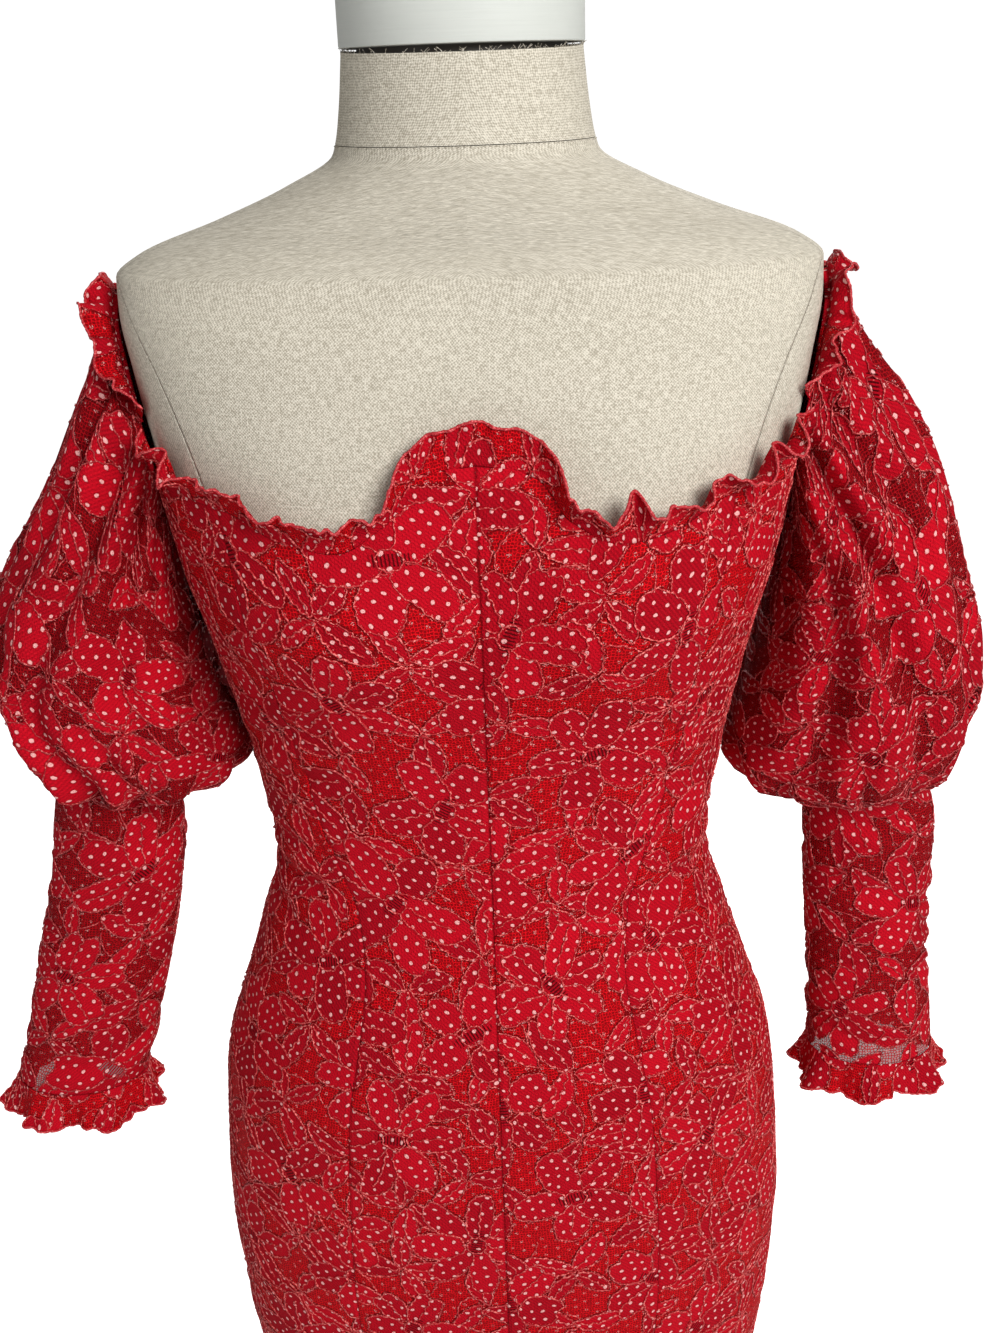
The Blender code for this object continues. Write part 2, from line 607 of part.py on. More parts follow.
def dress_form():
    """Torso and neck of the form, with no arms or legs, and the cap on its neck."""
    torso_rows = [z for z in (*SHARED_ROWS, *CHEST_ROWS) if z > FORM_BOTTOM_Z]
    rings = [form_ring(FORM_BOTTOM_Z, 0.006), form_ring(FORM_BOTTOM_Z + 0.006, 0.0)]
    rings += [form_ring(z) for z in torso_rows]
    rings.append(form_ring(NECK_SEAM_Z - SEAM_GAP))
    ring_solid("form_torso", rings, "linen")
    neck = [form_ring(z) for z in (NECK_SEAM_Z, *NECK_ROWS, NECK_TOP_Z)]
    ring_solid("form_neck", neck, "linen")
    edge = 0.0015
    turned("form_cap", "cap", (
        (CAP_PLUG_RADIUS, NECK_TOP_Z + SEAM_GAP), (CAP_PLUG_RADIUS, CAP_BOTTOM_Z),
        (CAP_RADIUS - edge, CAP_BOTTOM_Z), (CAP_RADIUS, CAP_BOTTOM_Z + edge),
        (CAP_RADIUS, CAP_TOP_Z - 0.009), (CAP_RADIUS - 0.002, CAP_TOP_Z - 0.005),
        (CAP_RADIUS - 0.009, CAP_TOP_Z - 0.0015), (CAP_RADIUS - 0.025, CAP_TOP_Z),
    ))


def turned(name, look, profile, sides=36):
    """A solid turned about the upright axis from (radius, z) points, bottom first."""
    rings = []
    for radius, z in profile:
        rings.append([Vector((radius * math.sin(math.tau * i / sides),
                              -radius * math.cos(math.tau * i / sides), z)) for i in range(sides)])
    return ring_solid(name, rings, look)


def stand():
    """A round base with its hub, and the pole that carries the form."""
    bevel = 0.002
    turned("stand_base", "steel", (
        (BASE_RADIUS - bevel, 0.0), (BASE_RADIUS, bevel), (BASE_RADIUS, BASE_THICKNESS - bevel),
        (BASE_RADIUS - 2 * bevel, BASE_THICKNESS), (HUB_RADIUS + 0.006, BASE_THICKNESS),
        (HUB_RADIUS, BASE_THICKNESS + 0.006), (HUB_RADIUS - 0.004, HUB_TOP_Z - bevel),
        (HUB_RADIUS - 0.006, HUB_TOP_Z),
    ))
    turned("stand_pole", "steel", (
        (POLE_RADIUS, HUB_TOP_Z + SEAM_GAP), (POLE_RADIUS, FORM_BOTTOM_Z - SEAM_GAP),
    ), sides=24)


def back_middle(z, out):
    """Y of the back's middle line, out from the inside of the cloth."""
    return cloth_point(z, 180, out).y


def zip_chain():
    """The closed coil, flush between the two back panels."""
    top = neckline_z(180) - ZIP_TOP_DROP
    levels = [z for z in panel_rows(180) if ZIP_BOTTOM_Z + 0.001 < z < top - 0.004]
    rings = []
    for z in (ZIP_BOTTOM_Z + 0.002, *levels, top):
        inside, outside = back_middle(z, 0.0), back_middle(z, WALL)
        rings.append([Vector((x, y, z)) for x, y in (
            (-ZIP_HALF_WIDTH, inside), (-ZIP_HALF_WIDTH, outside),
            (ZIP_HALF_WIDTH, outside), (ZIP_HALF_WIDTH, inside))])
    ring_solid("zip_chain", rings, "zip")


def box(name, low, high):
    """A helper block between two corners."""
    corners = [Vector((x, y, z)) for x in (low[0], high[0])
               for y in (low[1], high[1]) for z in (low[2], high[2])]
    faces = ((0, 1, 3, 2), (4, 6, 7, 5), (0, 4, 5, 1), (2, 3, 7, 6), (0, 2, 6, 4), (1, 5, 7, 3))
    return mesh_from(name, corners, faces)


def rod(name, middle, radius, length, sides=12):
    """A helper cylinder along X."""
    work = bmesh.new()
    bmesh.ops.create_cone(work, cap_ends=True, segments=sides, radius1=radius, radius2=radius,
                          depth=length)
    for vertex in work.verts:
        x, y, z = vertex.co
        vertex.co = Vector((z, y, x)) + middle
    work.normal_update()
    bmesh.ops.recalc_face_normals(work, faces=work.faces)
    mesh = bpy.data.meshes.new(name)
    work.to_mesh(mesh)
    work.free()
    return mesh


def cut_or_join(thing, meshes, operation):
    """Adds Boolean modifiers to an object, with their tools hidden from the build."""
    for i, mesh in enumerate(meshes):
        tool = bpy.data.objects.new(f"{thing.name}_{operation.lower()}_{i}", mesh)
        tool.hide_render = True
        tool.display_type = "WIRE"
        bpy.context.scene.collection.objects.link(tool)
        change = thing.modifiers.new(operation.lower(), "BOOLEAN")
        change.operation = operation
        change.solver = "EXACT"
        change.object = tool


def zip_slider_and_pull():
    """The slider lies on the closed zip at the top. Its pin carries the pull tab's eye."""
    width, depth, height = SLIDER_SIZE
    low_z, high_z = SLIDER_Z - height / 2, SLIDER_Z + height / 2
    cloth = max(back_middle(z, WALL) for z in (low_z, SLIDER_Z, high_z))
    back = cloth + SEAM_GAP
    face = back + depth
    pin_y, pin_z = face + PIN_STAND_OFF, high_z - PIN_DROP
    middle = Vector((0, pin_y, pin_z))
    slider = make_object("zip_slider", box(
        "zip_slider", (-width / 2, back, low_z), (width / 2, face, high_z)), "zip")
    ears = []
    for side in (-1, 1):
        inside, outside = side * EAR_INSIDE, side * (EAR_INSIDE + EAR_THICKNESS)
        ears.append(box("ear", (min(inside, outside), face - 0.0005, pin_z - EAR_REACH),
                        (max(inside, outside), pin_y + EAR_REACH, pin_z + EAR_REACH)))
    pin = rod("pin", middle, PIN_RADIUS, 2 * EAR_INSIDE + EAR_THICKNESS)
    cut_or_join(slider, [*ears, pin], "UNION")

    eye_half = EAR_INSIDE - SEAM_GAP
    half = TAB_THICKNESS / 2
    outline = ((eye_half * 0.8, 0.0009), (eye_half * 0.8, 0.0034), (TAB_WIDTH * 0.36, 0.0062),
               (TAB_WIDTH / 2, TAB_LENGTH - 0.0050), (TAB_WIDTH * 0.40, TAB_LENGTH - 0.0014),
               (TAB_WIDTH * 0.16, TAB_LENGTH))
    edge = [(x, -drop) for x, drop in outline] + [(-x, -drop) for x, drop in reversed(outline)]
    sheets = [[Vector((x, pin_y + y, pin_z + z)) for x, z in edge] for y in (-half, half)]
    pull = ring_solid("zip_pull", sheets, "zip")
    cut_or_join(pull, [rod("eye", middle, EYE_RADIUS, 2 * eye_half)], "UNION")
    cut_or_join(pull, [rod("bore", middle, EYE_BORE, 4 * eye_half)], "DIFFERENCE")


def main():
    for thing in list(bpy.data.objects):
        bpy.data.objects.remove(thing)
    body_panels()
    for side, word in ((1, "left"), (-1, "right")):
        sleeve_with_ruffle(word, side)
        lower_sleeve(f"lower_sleeve_{word}", side)
        cuff_ruffle(f"cuff_ruffle_{word}", side)
    body_ruffle("neck_ruffle_front", RUFFLE_FRONT, -60, 60)
    body_ruffle("neck_ruffle_back_left", RUFFLE_BACK, 120, 180)
    body_ruffle("neck_ruffle_back_right", RUFFLE_BACK, 180, 240)
    dress_form()
    stand()
    zip_chain()
    zip_slider_and_pull()


main()
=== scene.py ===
"""Visual model of an off-shoulder mini dress of dotted, corded lace on a linen dress form.

Metres, +Z up, the front faces -Y and the wearer's left is +X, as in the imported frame.
"""

import math
import random
from collections import namedtuple

import bmesh
import bpy
import numpy as np
from mathutils import Matrix, Vector


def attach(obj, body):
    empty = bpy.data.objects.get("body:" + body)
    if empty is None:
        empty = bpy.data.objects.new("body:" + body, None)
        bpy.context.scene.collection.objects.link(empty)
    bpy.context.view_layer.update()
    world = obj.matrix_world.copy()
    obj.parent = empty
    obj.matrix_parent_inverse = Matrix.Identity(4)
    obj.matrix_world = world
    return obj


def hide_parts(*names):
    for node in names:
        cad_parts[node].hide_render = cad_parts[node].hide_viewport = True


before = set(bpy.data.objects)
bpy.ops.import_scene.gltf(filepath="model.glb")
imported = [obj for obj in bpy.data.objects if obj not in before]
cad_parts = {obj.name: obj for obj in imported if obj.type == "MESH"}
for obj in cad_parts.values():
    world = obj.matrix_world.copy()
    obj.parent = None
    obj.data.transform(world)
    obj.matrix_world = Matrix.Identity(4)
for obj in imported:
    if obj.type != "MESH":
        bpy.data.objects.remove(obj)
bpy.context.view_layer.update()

# Camera of the photograph: focal length in its own pixels, degrees down, degrees of roll
FOCAL_PX, LONG_SIDE_PX, SENSOR_MM = 1406, 1333, 36.0
CAMERA_PLACE = Vector((0.0085, -0.756, 1.385))
CAMERA_DOWN, CAMERA_ROLL = 22.8, 1.92

# Sizes shared with the part's source
WALL = 0.0012
EASE = 0.0007
CHEST_EASE = 0.0010
SEAM_GAP = 0.0003
HEM_Z = 0.500
FORM_BOTTOM_Z = 0.602
NECK_SEAM_Z, NECK_TOP_Z = 1.3555, 1.3955
JOIN_TOP_Z, BUST_FOOT_Z = 1.150, 1.088
SEAM_TURN, SEAM_SWING = 30, 14
SWING_LOW_Z, SWING_HIGH_Z = 0.900, 1.030
RUFFLE_HEIGHT, SHOULDER_RUFFLE_HEIGHT, RUFFLE_SLANT = 0.022, 0.018, 0.35
CUFF_WAVES = 7
CUFF_DROP, CUFF_FLARE, CUFF_WAVE = 0.022, 0.008, 0.0050

# (z, half_width, front, back, squareness)
BODY_LEVELS = (
    (0.490, 0.1675, 0.098, 0.112, 2.00),
    (0.553, 0.1725, 0.101, 0.117, 2.00),
    (0.611, 0.1785, 0.104, 0.121, 2.05),
    (0.692, 0.1817, 0.108, 0.130, 2.10),
    (0.760, 0.1777, 0.111, 0.133, 2.10),
    (0.817, 0.1712, 0.111, 0.127, 2.10),
    (0.864, 0.1563, 0.108, 0.114, 2.10),
    (0.908, 0.1414, 0.102, 0.101, 2.10),
    (0.961, 0.1270, 0.094, 0.090, 2.10),
    (1.013, 0.1328, 0.098, 0.091, 2.10),
    (1.060, 0.1410, 0.107, 0.097, 2.15),
    (1.100, 0.1490, 0.114, 0.103, 2.20),
    (1.144, 0.1590, 0.118, 0.109, 2.30),
    (1.180, 0.1660, 0.116, 0.113, 2.40),
    (1.215, 0.1720, 0.108, 0.115, 2.50),
    (1.250, 0.1780, 0.097, 0.113, 2.50),
    (1.280, 0.1822, 0.085, 0.108, 2.50),
    (1.296, 0.1822, 0.078, 0.102, 2.40),
    (1.306, 0.1700, 0.073, 0.097, 2.30),
    (1.321, 0.1290, 0.068, 0.088, 2.20),
    (1.336, 0.0925, 0.064, 0.077, 2.10),
    (1.351, 0.0670, 0.061, 0.066, 2.00),
    (1.372, 0.0625, 0.059, 0.061, 2.00),
    (1.396, 0.0598, 0.0585, 0.0595, 2.00),
)
BUST_X, BUST_Z = 0.078, 1.135
BUST_LIFT, BUST_SPREAD_X, BUST_SPREAD_Z = 0.022, 0.052, 0.050

# (degrees from the front, z)
NECKLINE = (
    (0, 1.2175), (6, 1.2110), (11, 1.1920), (20, 1.1800), (30, 1.1840),
    (41, 1.1945), (53, 1.1975), (64, 1.2060), (75, 1.2010), (90, 1.1720), (104, 1.1990),
    (116, 1.2060), (135, 1.2030), (160, 1.1980), (180, 1.1960),
)
# (degrees round the sleeve, out from the form's side, y, z)
SLEEVE_TOP = (
    (0, 0.0040, 0.002, 1.2880), (30, 0.0040, -0.014, 1.2760),
    (60, 0.0040, -0.028, 1.2480), (90, 0.0038, -0.046, 1.2110),
    (120, 0.0038, -0.036, 1.1880), (150, 0.0038, -0.018, 1.1750),
    (180, 0.0038, 0.002, 1.1700), (210, 0.0038, 0.022, 1.1760),
    (240, 0.0038, 0.042, 1.1920), (270, 0.0038, 0.056, 1.2140),
    (300, 0.0040, 0.038, 1.2500), (330, 0.0040, 0.018, 1.2760),
)
PUSHED_UP = 0.024
# (x_out wearer's right, x_out wearer's left, z_out, x_in, z_in, half_depth, gather, top)
PUFF_RINGS = (
    (0.1905, 0.1905, 1.288, 0.1705, 1.170, 0.044, 0.0000, 1.0),
    (0.1960, 0.1980, 1.272, 0.1690, 1.152, 0.056, 0.0022, 0.7),
    (0.2060, 0.2130, 1.245, 0.1665, 1.130, 0.067, 0.0030, 0.4),
    (0.2200, 0.2340, 1.215, 0.1630, 1.108, 0.074, 0.0026, 0.2),
    (0.2400, 0.2550, 1.175, 0.1580, 1.085, 0.079, 0.0016, 0.1),
    (0.2700, 0.2720, 1.127, 0.1530, 1.062, 0.081, 0.0008, 0.0),
    (0.2830, 0.2825, 1.085, 0.1465, 1.042, 0.080, 0.0010, 0.0),
    (0.2815, 0.2868, 1.050, 0.1430, 1.024, 0.077, 0.0018, 0.0),
    (0.2700, 0.2815, 1.020, 0.1430, 1.008, 0.069, 0.0028, 0.0),
    (0.2640, 0.2735, 1.002, 0.1520, 0.995, 0.059, 0.0032, 0.0),
    (0.2622, 0.2682, 0.993, 0.1680, 0.988, 0.047, 0.0022, 0.0),
    (0.2585, 0.2640, 0.989, 0.1850, 0.987, 0.037, 0.0008, 0.0),
    (0.2547, 0.2596, 0.996, 0.1939, 0.995, 0.0295, 0.0000, 0.0),
)
SLEEVE_MIDDLE_Y = 0.002
PLEATS, FIRST_EVEN_RING, LAST_FOLDED_RING = 12, 8, 10
# (side, degrees round the sleeve, width, ring, reach, depth)
PUFF_FOLDS = (
    (1, 86, 17, 3.0, 3.2, 0.0110), (1, 58, 12, 2.6, 2.2, 0.0060), (1, 28, 13, 3.2, 2.6, 0.0055),
    (1, 118, 16, 6.5, 2.6, 0.0070), (1, 62, 15, 7.6, 2.2, 0.0065), (1, 20, 14, 8.4, 1.8, 0.0050),
    (1, 232, 18, 4.6, 3.6, 0.0080), (1, 292, 15, 3.2, 2.6, 0.0070),
    (-1, 70, 14, 3.0, 2.6, 0.0075), (-1, 104, 17, 4.0, 3.6, 0.0090), (-1, 36, 14, 3.6, 2.6, 0.0050),
    (-1, 84, 15, 7.8, 2.2, 0.0070), (-1, 30, 14, 7.4, 2.4, 0.0060),
    (-1, 238, 18, 4.2, 3.4, 0.0080), (-1, 300, 15, 3.6, 2.8, 0.0070),
)
# (share of the way down, x wearer's right, half_width, x wearer's left, half_width, half_depth)
LOWER_SLEEVE = (
    (0.00, -0.2243, 0.0298, 0.2268, 0.0322, 0.0290),
    (0.05, -0.2243, 0.0303, 0.2270, 0.0326, 0.0292),
    (0.13, -0.2240, 0.0372, 0.2300, 0.0385, 0.0300),
    (0.24, -0.2270, 0.0396, 0.2318, 0.0396, 0.0296),
    (0.42, -0.2355, 0.0408, 0.2335, 0.0388, 0.0280),
    (0.62, -0.2480, 0.0418, 0.2360, 0.0380, 0.0275),
    (0.84, -0.2630, 0.0420, 0.2405, 0.0388, 0.0285),
    (1.00, -0.2745, 0.0415, 0.2430, 0.0400, 0.0300),
)
LOWER_SLEEVE_TOP_Z = {-1: 1.001 + PUSHED_UP, 1: 1.001}
CUFF_Z = {-1: 0.790, 1: 0.793}
# (degrees from the front, lean: 90 stands up, 0 juts out, below 0 flops over, share of the height)
RUFFLE_FRONT = (
    (-67, 70, 1.0), (-62, 25, 0.9), (-57, 65, 1.0), (-52, 5, 1.0), (-47, 55, 0.8), (-42, 30, 0.8),
    (-37, 55, 0.8), (-32, 30, 0.8), (-26, 50, 0.8), (-20, 32, 0.9), (-15, 45, 0.8), (-12, 20, 0.6),
    (-9, 45, 0.6), (-7, 82, 0.7), (-4, 88, 0.85), (0, 84, 0.95), (4, 88, 0.9), (7, 80, 0.85),
    (9, 55, 0.75), (12, 25, 0.75), (15, 45, 0.7), (18, 30, 0.8), (22, 86, 1.2), (25, 30, 0.8),
    (29, 50, 0.8), (33, 10, 0.8), (37, 62, 0.75), (41, 25, 0.7), (46, -15, 0.9), (51, 65, 1.0),
    (56, 5, 1.0), (62, 70, 1.0), (67, 60, 1.0),
)
RUFFLE_BACK = (
    (115, 80, 1), (122, 50, 1), (128, 10, 1), (137, 75, 1), (146, -15, 1), (156, 70, 1),
    (164, 15, 1), (173, 82, 1), (183, 30, 1), (192, 84, 1), (201, -10, 1), (211, 72, 1),
    (220, 5, 1), (230, 70, 1), (238, 40, 1), (245, 80, 1),
)
# (degrees round the sleeve's top, lean wearer's right, lean wearer's left, share of the height)
RUFFLE_SHOULDER = (
    (-76.5, 70, 70, 1.0), (-68, 35, 0, 1.0), (-58, -5, 50, 1.0), (-48, 45, 0, 1.0),
    (-38, -10, 40, 1.0), (-29, 35, 55, 0.9), (-20, -5, 0, 0.8), (-11, 40, 25, 0.6),
    (-3, 30, 45, 0.6), (5, 50, 35, 0.6), (13, 0, -20, 0.8), (21, -25, 30, 1.0),
    (30, 10, 55, 1.1), (39, -20, 10, 0.9), (48, 10, -10, 1.0), (57, -25, 35, 1.0),
    (66, 20, 5, 1.0), (76.5, 60, 60, 1.0),
)
BASE_RADIUS, BASE_THICKNESS = 0.190, 0.011
HUB_RADIUS, HUB_TOP_Z = 0.031, 0.060
POLE_RADIUS = 0.016
CAP_RADIUS, CAP_BOTTOM_Z, CAP_TOP_Z = 0.0606, 1.3990, 1.4440
CAP_PLUG_RADIUS = 0.052
NECK_RISE = 0.0028
ZIP_BOTTOM_Z, ZIP_TOP_Z = 0.802, 1.192

# Cloth, lace and the zip
BODY_CELL, BACK_CELL = 0.0030, 0.0034   # side of a cell of the body's visual mesh, front and back
STRIP_WIDTH, STRIP_FOOT_Z = 0.0095, 1.062    # strip beside the centre front seam
FLOWER_STEP = 0.087       # between two flowers on the flat cut
CORD_RADIUS = 0.00050
EDGE_RADIUS = 0.00075     # rolled edge of a frill
CORD_STEP, BACK_CORD_STEP = 0.0016, 0.0027
PUFF_CUT_WIDTH = 0.47
HEM_DEPTH = 0.018
CASING_WIDTH = 0.0034     # of the elastic's casing, from a puff's top in to the linen
ZIP_SLIT = 0.0003         # that each back panel's fold stands off the zip's middle
COIL_PITCH = 0.0011
LOWER_CUT_WIDTH = 0.235
CUFF_CUT_WIDTH = 0.36
PRINCESS_SEAMS = (SEAM_TURN, 180 - SEAM_TURN)
SEAM_GROOVE, PRINCESS_GROOVE, GROOVE_WIDTH = 0.0008, 0.0005, 0.0016
SEAM_SWELL, SWELL_AWAY, SWELL_WIDTH = 0.0003, 0.0065, 0.003    # of the cloth beside a seam
CREASE_RIDGE = 1.9        # widths of a crease from its middle to the ridge beside it
SLACK, DEEPEST_DENT, COVER = 0.00035, -0.0020, 0.0006    # how the body's cloth leaves its plain shape
METRES_PER_DEGREE = 0.0027    # round the dress, about
PANEL_TOP_Z = 1.222
PANEL_LEVELS, PANEL_COLUMNS = 150, 97    # of the table of a panel's flat widths
NO_SEAM_NEAR = 9.0        # mm
MOTIF_REACH = 0.025       # the farthest that a motif comes from its middle
FLOWER_MIDDLE_RANK = 20   # above all petals and leaves
FAR_OUTSIDE = -0.004      # depth of a place that no motif is near
RUFFLE_FULLNESS = 1.45
RUFFLE_ROWS = 13
LEAST_CUT_SHARE = 0.31    # of its width times its length that a panel's area is

Motif = namedtuple("Motif", "u v turn long wide point notch scallop count bend rank tone vein")
Threads = namedtuple("Threads", "cord_tree stitch_tree cord sleeve_cord edge linen")


# Lengths and directions

def travelled(points):
    """The length along a line of points up to each of them."""
    return np.concatenate([[0.0], np.cumsum(np.linalg.norm(np.diff(points, axis=0), axis=1))])


def travelled_across(grid):
    """The same along each row of a grid."""
    steps = np.cumsum(np.linalg.norm(np.diff(grid, axis=1), axis=2), axis=1)
    return np.concatenate([np.zeros((len(grid), 1)), steps], axis=1)


def bell(away, width=1.0):
    """1 in the middle, falling to nearly nothing two widths away."""
    return np.exp(-(away / width) ** 2)


def from_front(degrees):
    """The same directions, between -180 and 180 degrees."""
    return (degrees + 180) % 360 - 180


# Shapes that the part's source has too

def curve(table, at, column):
    """Values of one column of a table at places in its first column, on a curve with no overshoot."""
    places = np.array([row[0] for row in table], float)
    values = np.array([row[column] for row in table], float)
    slopes = np.diff(values) / np.diff(places)
    tangents = np.concatenate([slopes[:1], np.zeros(len(slopes) - 1), slopes[-1:]])
    product = slopes[:-1] * slopes[1:]
    rising = product > 0
    tangents[1:-1][rising] = 2 * product[rising] / (slopes[:-1] + slopes[1:])[rising]
    at = np.clip(np.asarray(at, float), places[0], places[-1])
    i = np.clip(np.searchsorted(places, at, side="right") - 1, 0, len(slopes) - 1)
    span = places[i + 1] - places[i]
    t = (at - places[i]) / span
    return ((2 * t ** 3 - 3 * t ** 2 + 1) * values[i] + (t ** 3 - 2 * t ** 2 + t) * span * tangents[i]
            + (3 * t ** 2 - 2 * t ** 3) * values[i + 1] + (t ** 3 - t ** 2) * span * tangents[i + 1])


def section(z, degrees):
    """Points of the form's outline at levels, by degrees from the front."""
    z, degrees = np.broadcast_arrays(np.asarray(z, float), np.asarray(degrees, float))
    half_width, front, back, square = (curve(BODY_LEVELS, z, c) for c in (1, 2, 3, 4))
    s, c = np.sin(np.radians(degrees)), np.cos(np.radians(degrees))
    power = 2 / square
    x = half_width * np.sign(s) * np.abs(s) ** power
    y = -np.where(c > 0, front, back) * np.sign(c) * np.abs(c) ** power
    across = ((np.abs(x) - BUST_X) / BUST_SPREAD_X) ** 2
    along = ((z - BUST_Z) / BUST_SPREAD_Z) ** 2
    y = y - np.where(c > 0, BUST_LIFT * np.exp(-across - along) * np.minimum(1.0, 3 * c), 0.0)
    return np.stack([x, y, z], axis=-1)


def outward(z, degrees):
    """Level directions straight out of the form."""
    along = section(z, np.asarray(degrees) + 1) - section(z, np.asarray(degrees) - 1)
    out = np.stack([along[..., 1], -along[..., 0], np.zeros(along.shape[:-1])], axis=-1)
    return out / np.linalg.norm(out, axis=-1, keepdims=True)


def swung(column, z):
    """Degrees from the front of a column at one level, as the seams swing out over the chest."""
    column, z = np.broadcast_arrays(np.asarray(column, float), np.asarray(z, float))
    share = np.clip((z - SWING_LOW_Z) / (SWING_HIGH_Z - SWING_LOW_Z), 0, 1)
    swing = SEAM_SWING * share * share * (3 - 2 * share)
    turn = from_front(column)
    middle = np.minimum(np.abs(turn), 180 - np.abs(turn))
    inner = middle * (SEAM_TURN + swing) / SEAM_TURN
    outer = 90 - (90 - middle) * (90 - SEAM_TURN - swing) / (90 - SEAM_TURN)
    moved = np.where(middle < SEAM_TURN, inner, outer)
    moved = np.where(np.abs(turn) > 90, 180 - moved, moved)
    return np.sign(turn) * moved


def on_form(z, degrees, out=0.0):
    """Points of the form, out from its linen."""
    return section(z, degrees) + outward(z, degrees) * np.asarray(out)[..., None]


def on_dress(z, degrees, out=0.0):
    """Points of the dress's body, out from the inside of its cloth."""
    share = np.clip((z - BUST_FOOT_Z) / (JOIN_TOP_Z - BUST_FOOT_Z), 0, 1)
    return on_form(z, degrees, EASE + CHEST_EASE * share + out)


def top_z(column):
    """Level of the neckline at a column."""
    turn = swung(column, SWING_HIGH_Z)
    return curve(NECKLINE, np.abs(from_front(turn)), 1)


def full_circle(table):
    """The same table with rows added at each end, for a column of degrees that comes full circle."""
    before = tuple((row[0] - 360,) + tuple(row[1:]) for row in table[-2:])
    after = tuple((row[0] + 360,) + tuple(row[1:]) for row in table[:2])
    return before + tuple(table) + after


def sleeve_top(degrees, side):
    """Points along a sleeve's top edge."""
    table = full_circle(SLEEVE_TOP)
    out, y, z = (curve(table, np.asarray(degrees) % 360, c) for c in (1, 2, 3))
    half_width, front, back, square = (curve(BODY_LEVELS, z, c) for c in (1, 2, 3, 4))
    share = np.abs(y) / np.where(y < 0, front, back)
    x = half_width * (1 - share ** square) ** (1 / square) + out
    return np.stack([side * x, y, z], axis=-1)


def out_of_sleeve(turn, side):
    """Level directions out of a sleeve, by radians round it."""
    return np.stack([side * np.cos(turn), -np.sin(turn), np.zeros(len(turn))], axis=-1)


def puff_ring(ring, degrees, side):
    """Points round one ring of a puff sleeve."""
    right, left, z_out, x_in, z_in, half_depth, gather, top = PUFF_RINGS[ring]
    x_out = left if side > 0 else right
    if side < 0:
        raised = PUSHED_UP * (ring / (len(PUFF_RINGS) - 1)) ** 1.5
        z_out, z_in = z_out + raised, z_in + raised
    turn = np.radians(degrees)
    cos, sin = np.cos(turn), np.sin(turn)
    out = out_of_sleeve(turn, side)

    def oval(outer, inner, z_outer, z_inner, depth):
        return np.stack([side * ((outer + inner) / 2 + (outer - inner) / 2 * cos),
                         SLEEVE_MIDDLE_Y - depth * sin,
                         (z_outer + z_inner) / 2 + (z_outer - z_inner) / 2 * cos], axis=-1)

    points = oval(x_out, x_in, z_out, z_in, half_depth)
    if top:
        first = PUFF_RINGS[0]
        plain = oval(first[1], first[3], first[2], first[4], first[5])
        points = points + (sleeve_top(degrees, side) - plain) * top
    fullness = np.maximum(0, 0.35 + 0.65 * cos) if ring < FIRST_EVEN_RING else 1.0
    points = points + out * (gather * np.cos(PLEATS * turn) * fullness)[:, None]
    for fold_side, at, width, fold_ring, length, depth in PUFF_FOLDS:
        if fold_side == side and 0 < ring <= LAST_FOLDED_RING:
            across = from_front(degrees - at) / width
            along = (ring - fold_ring) / length
            points = points - out * (depth * np.exp(-across ** 2 - along ** 2))[:, None]
    return points


def sleeve_top_facing(degrees, side):
    """Level directions that the casing along a sleeve's top faces."""
    along, across = np.cos(np.radians(degrees)), np.sin(np.radians(degrees))
    facing = np.stack([side * (0.6 + along * np.where(along > 0, 1.0, 3.2)), -across,
                       np.zeros(len(along))], axis=-1)
    return facing / np.linalg.norm(facing, axis=-1, keepdims=True)


def lower_sleeve_ring(share, degrees, side, drop=0.0, flare=0.0):
    """Points of a lower sleeve, or of the cuff below it by drop and out from it by flare."""
    x, half_width = (curve(LOWER_SLEEVE, share, c) for c in ((3, 4) if side > 0 else (1, 2)))
    half_depth = curve(LOWER_SLEEVE, share, 5)
    turn = np.radians(degrees)
    top = LOWER_SLEEVE_TOP_Z[side]
    z = top + (CUFF_Z[side] - top) * share - drop
    return np.stack(np.broadcast_arrays(
        x + side * np.cos(turn) * (half_width + flare),
        SLEEVE_MIDDLE_Y - np.sin(turn) * (half_depth + flare), z), axis=-1)


# Cloth surfaces, each with its flat cut

def between(table, row, column):
    """Values between the places of a table, by row and column number."""
    rows, columns = table.shape[:2]
    row, column = np.clip(row, 0, rows - 1), np.clip(column, 0, columns - 1)
    r = np.minimum(row.astype(int), rows - 2)
    c = np.minimum(column.astype(int), columns - 2)
    f, g = row - r, column - c
    if table.ndim == 3:
        f, g = f[..., None], g[..., None]
    low = table[r, c] * (1 - g) + table[r, c + 1] * g
    high = table[r + 1, c] * (1 - g) + table[r + 1, c + 1] * g
    return low * (1 - f) + high * f


def unit(vectors):
    """The same directions, each of length one."""
    return vectors / np.maximum(np.linalg.norm(vectors, axis=-1, keepdims=True), 1e-12)


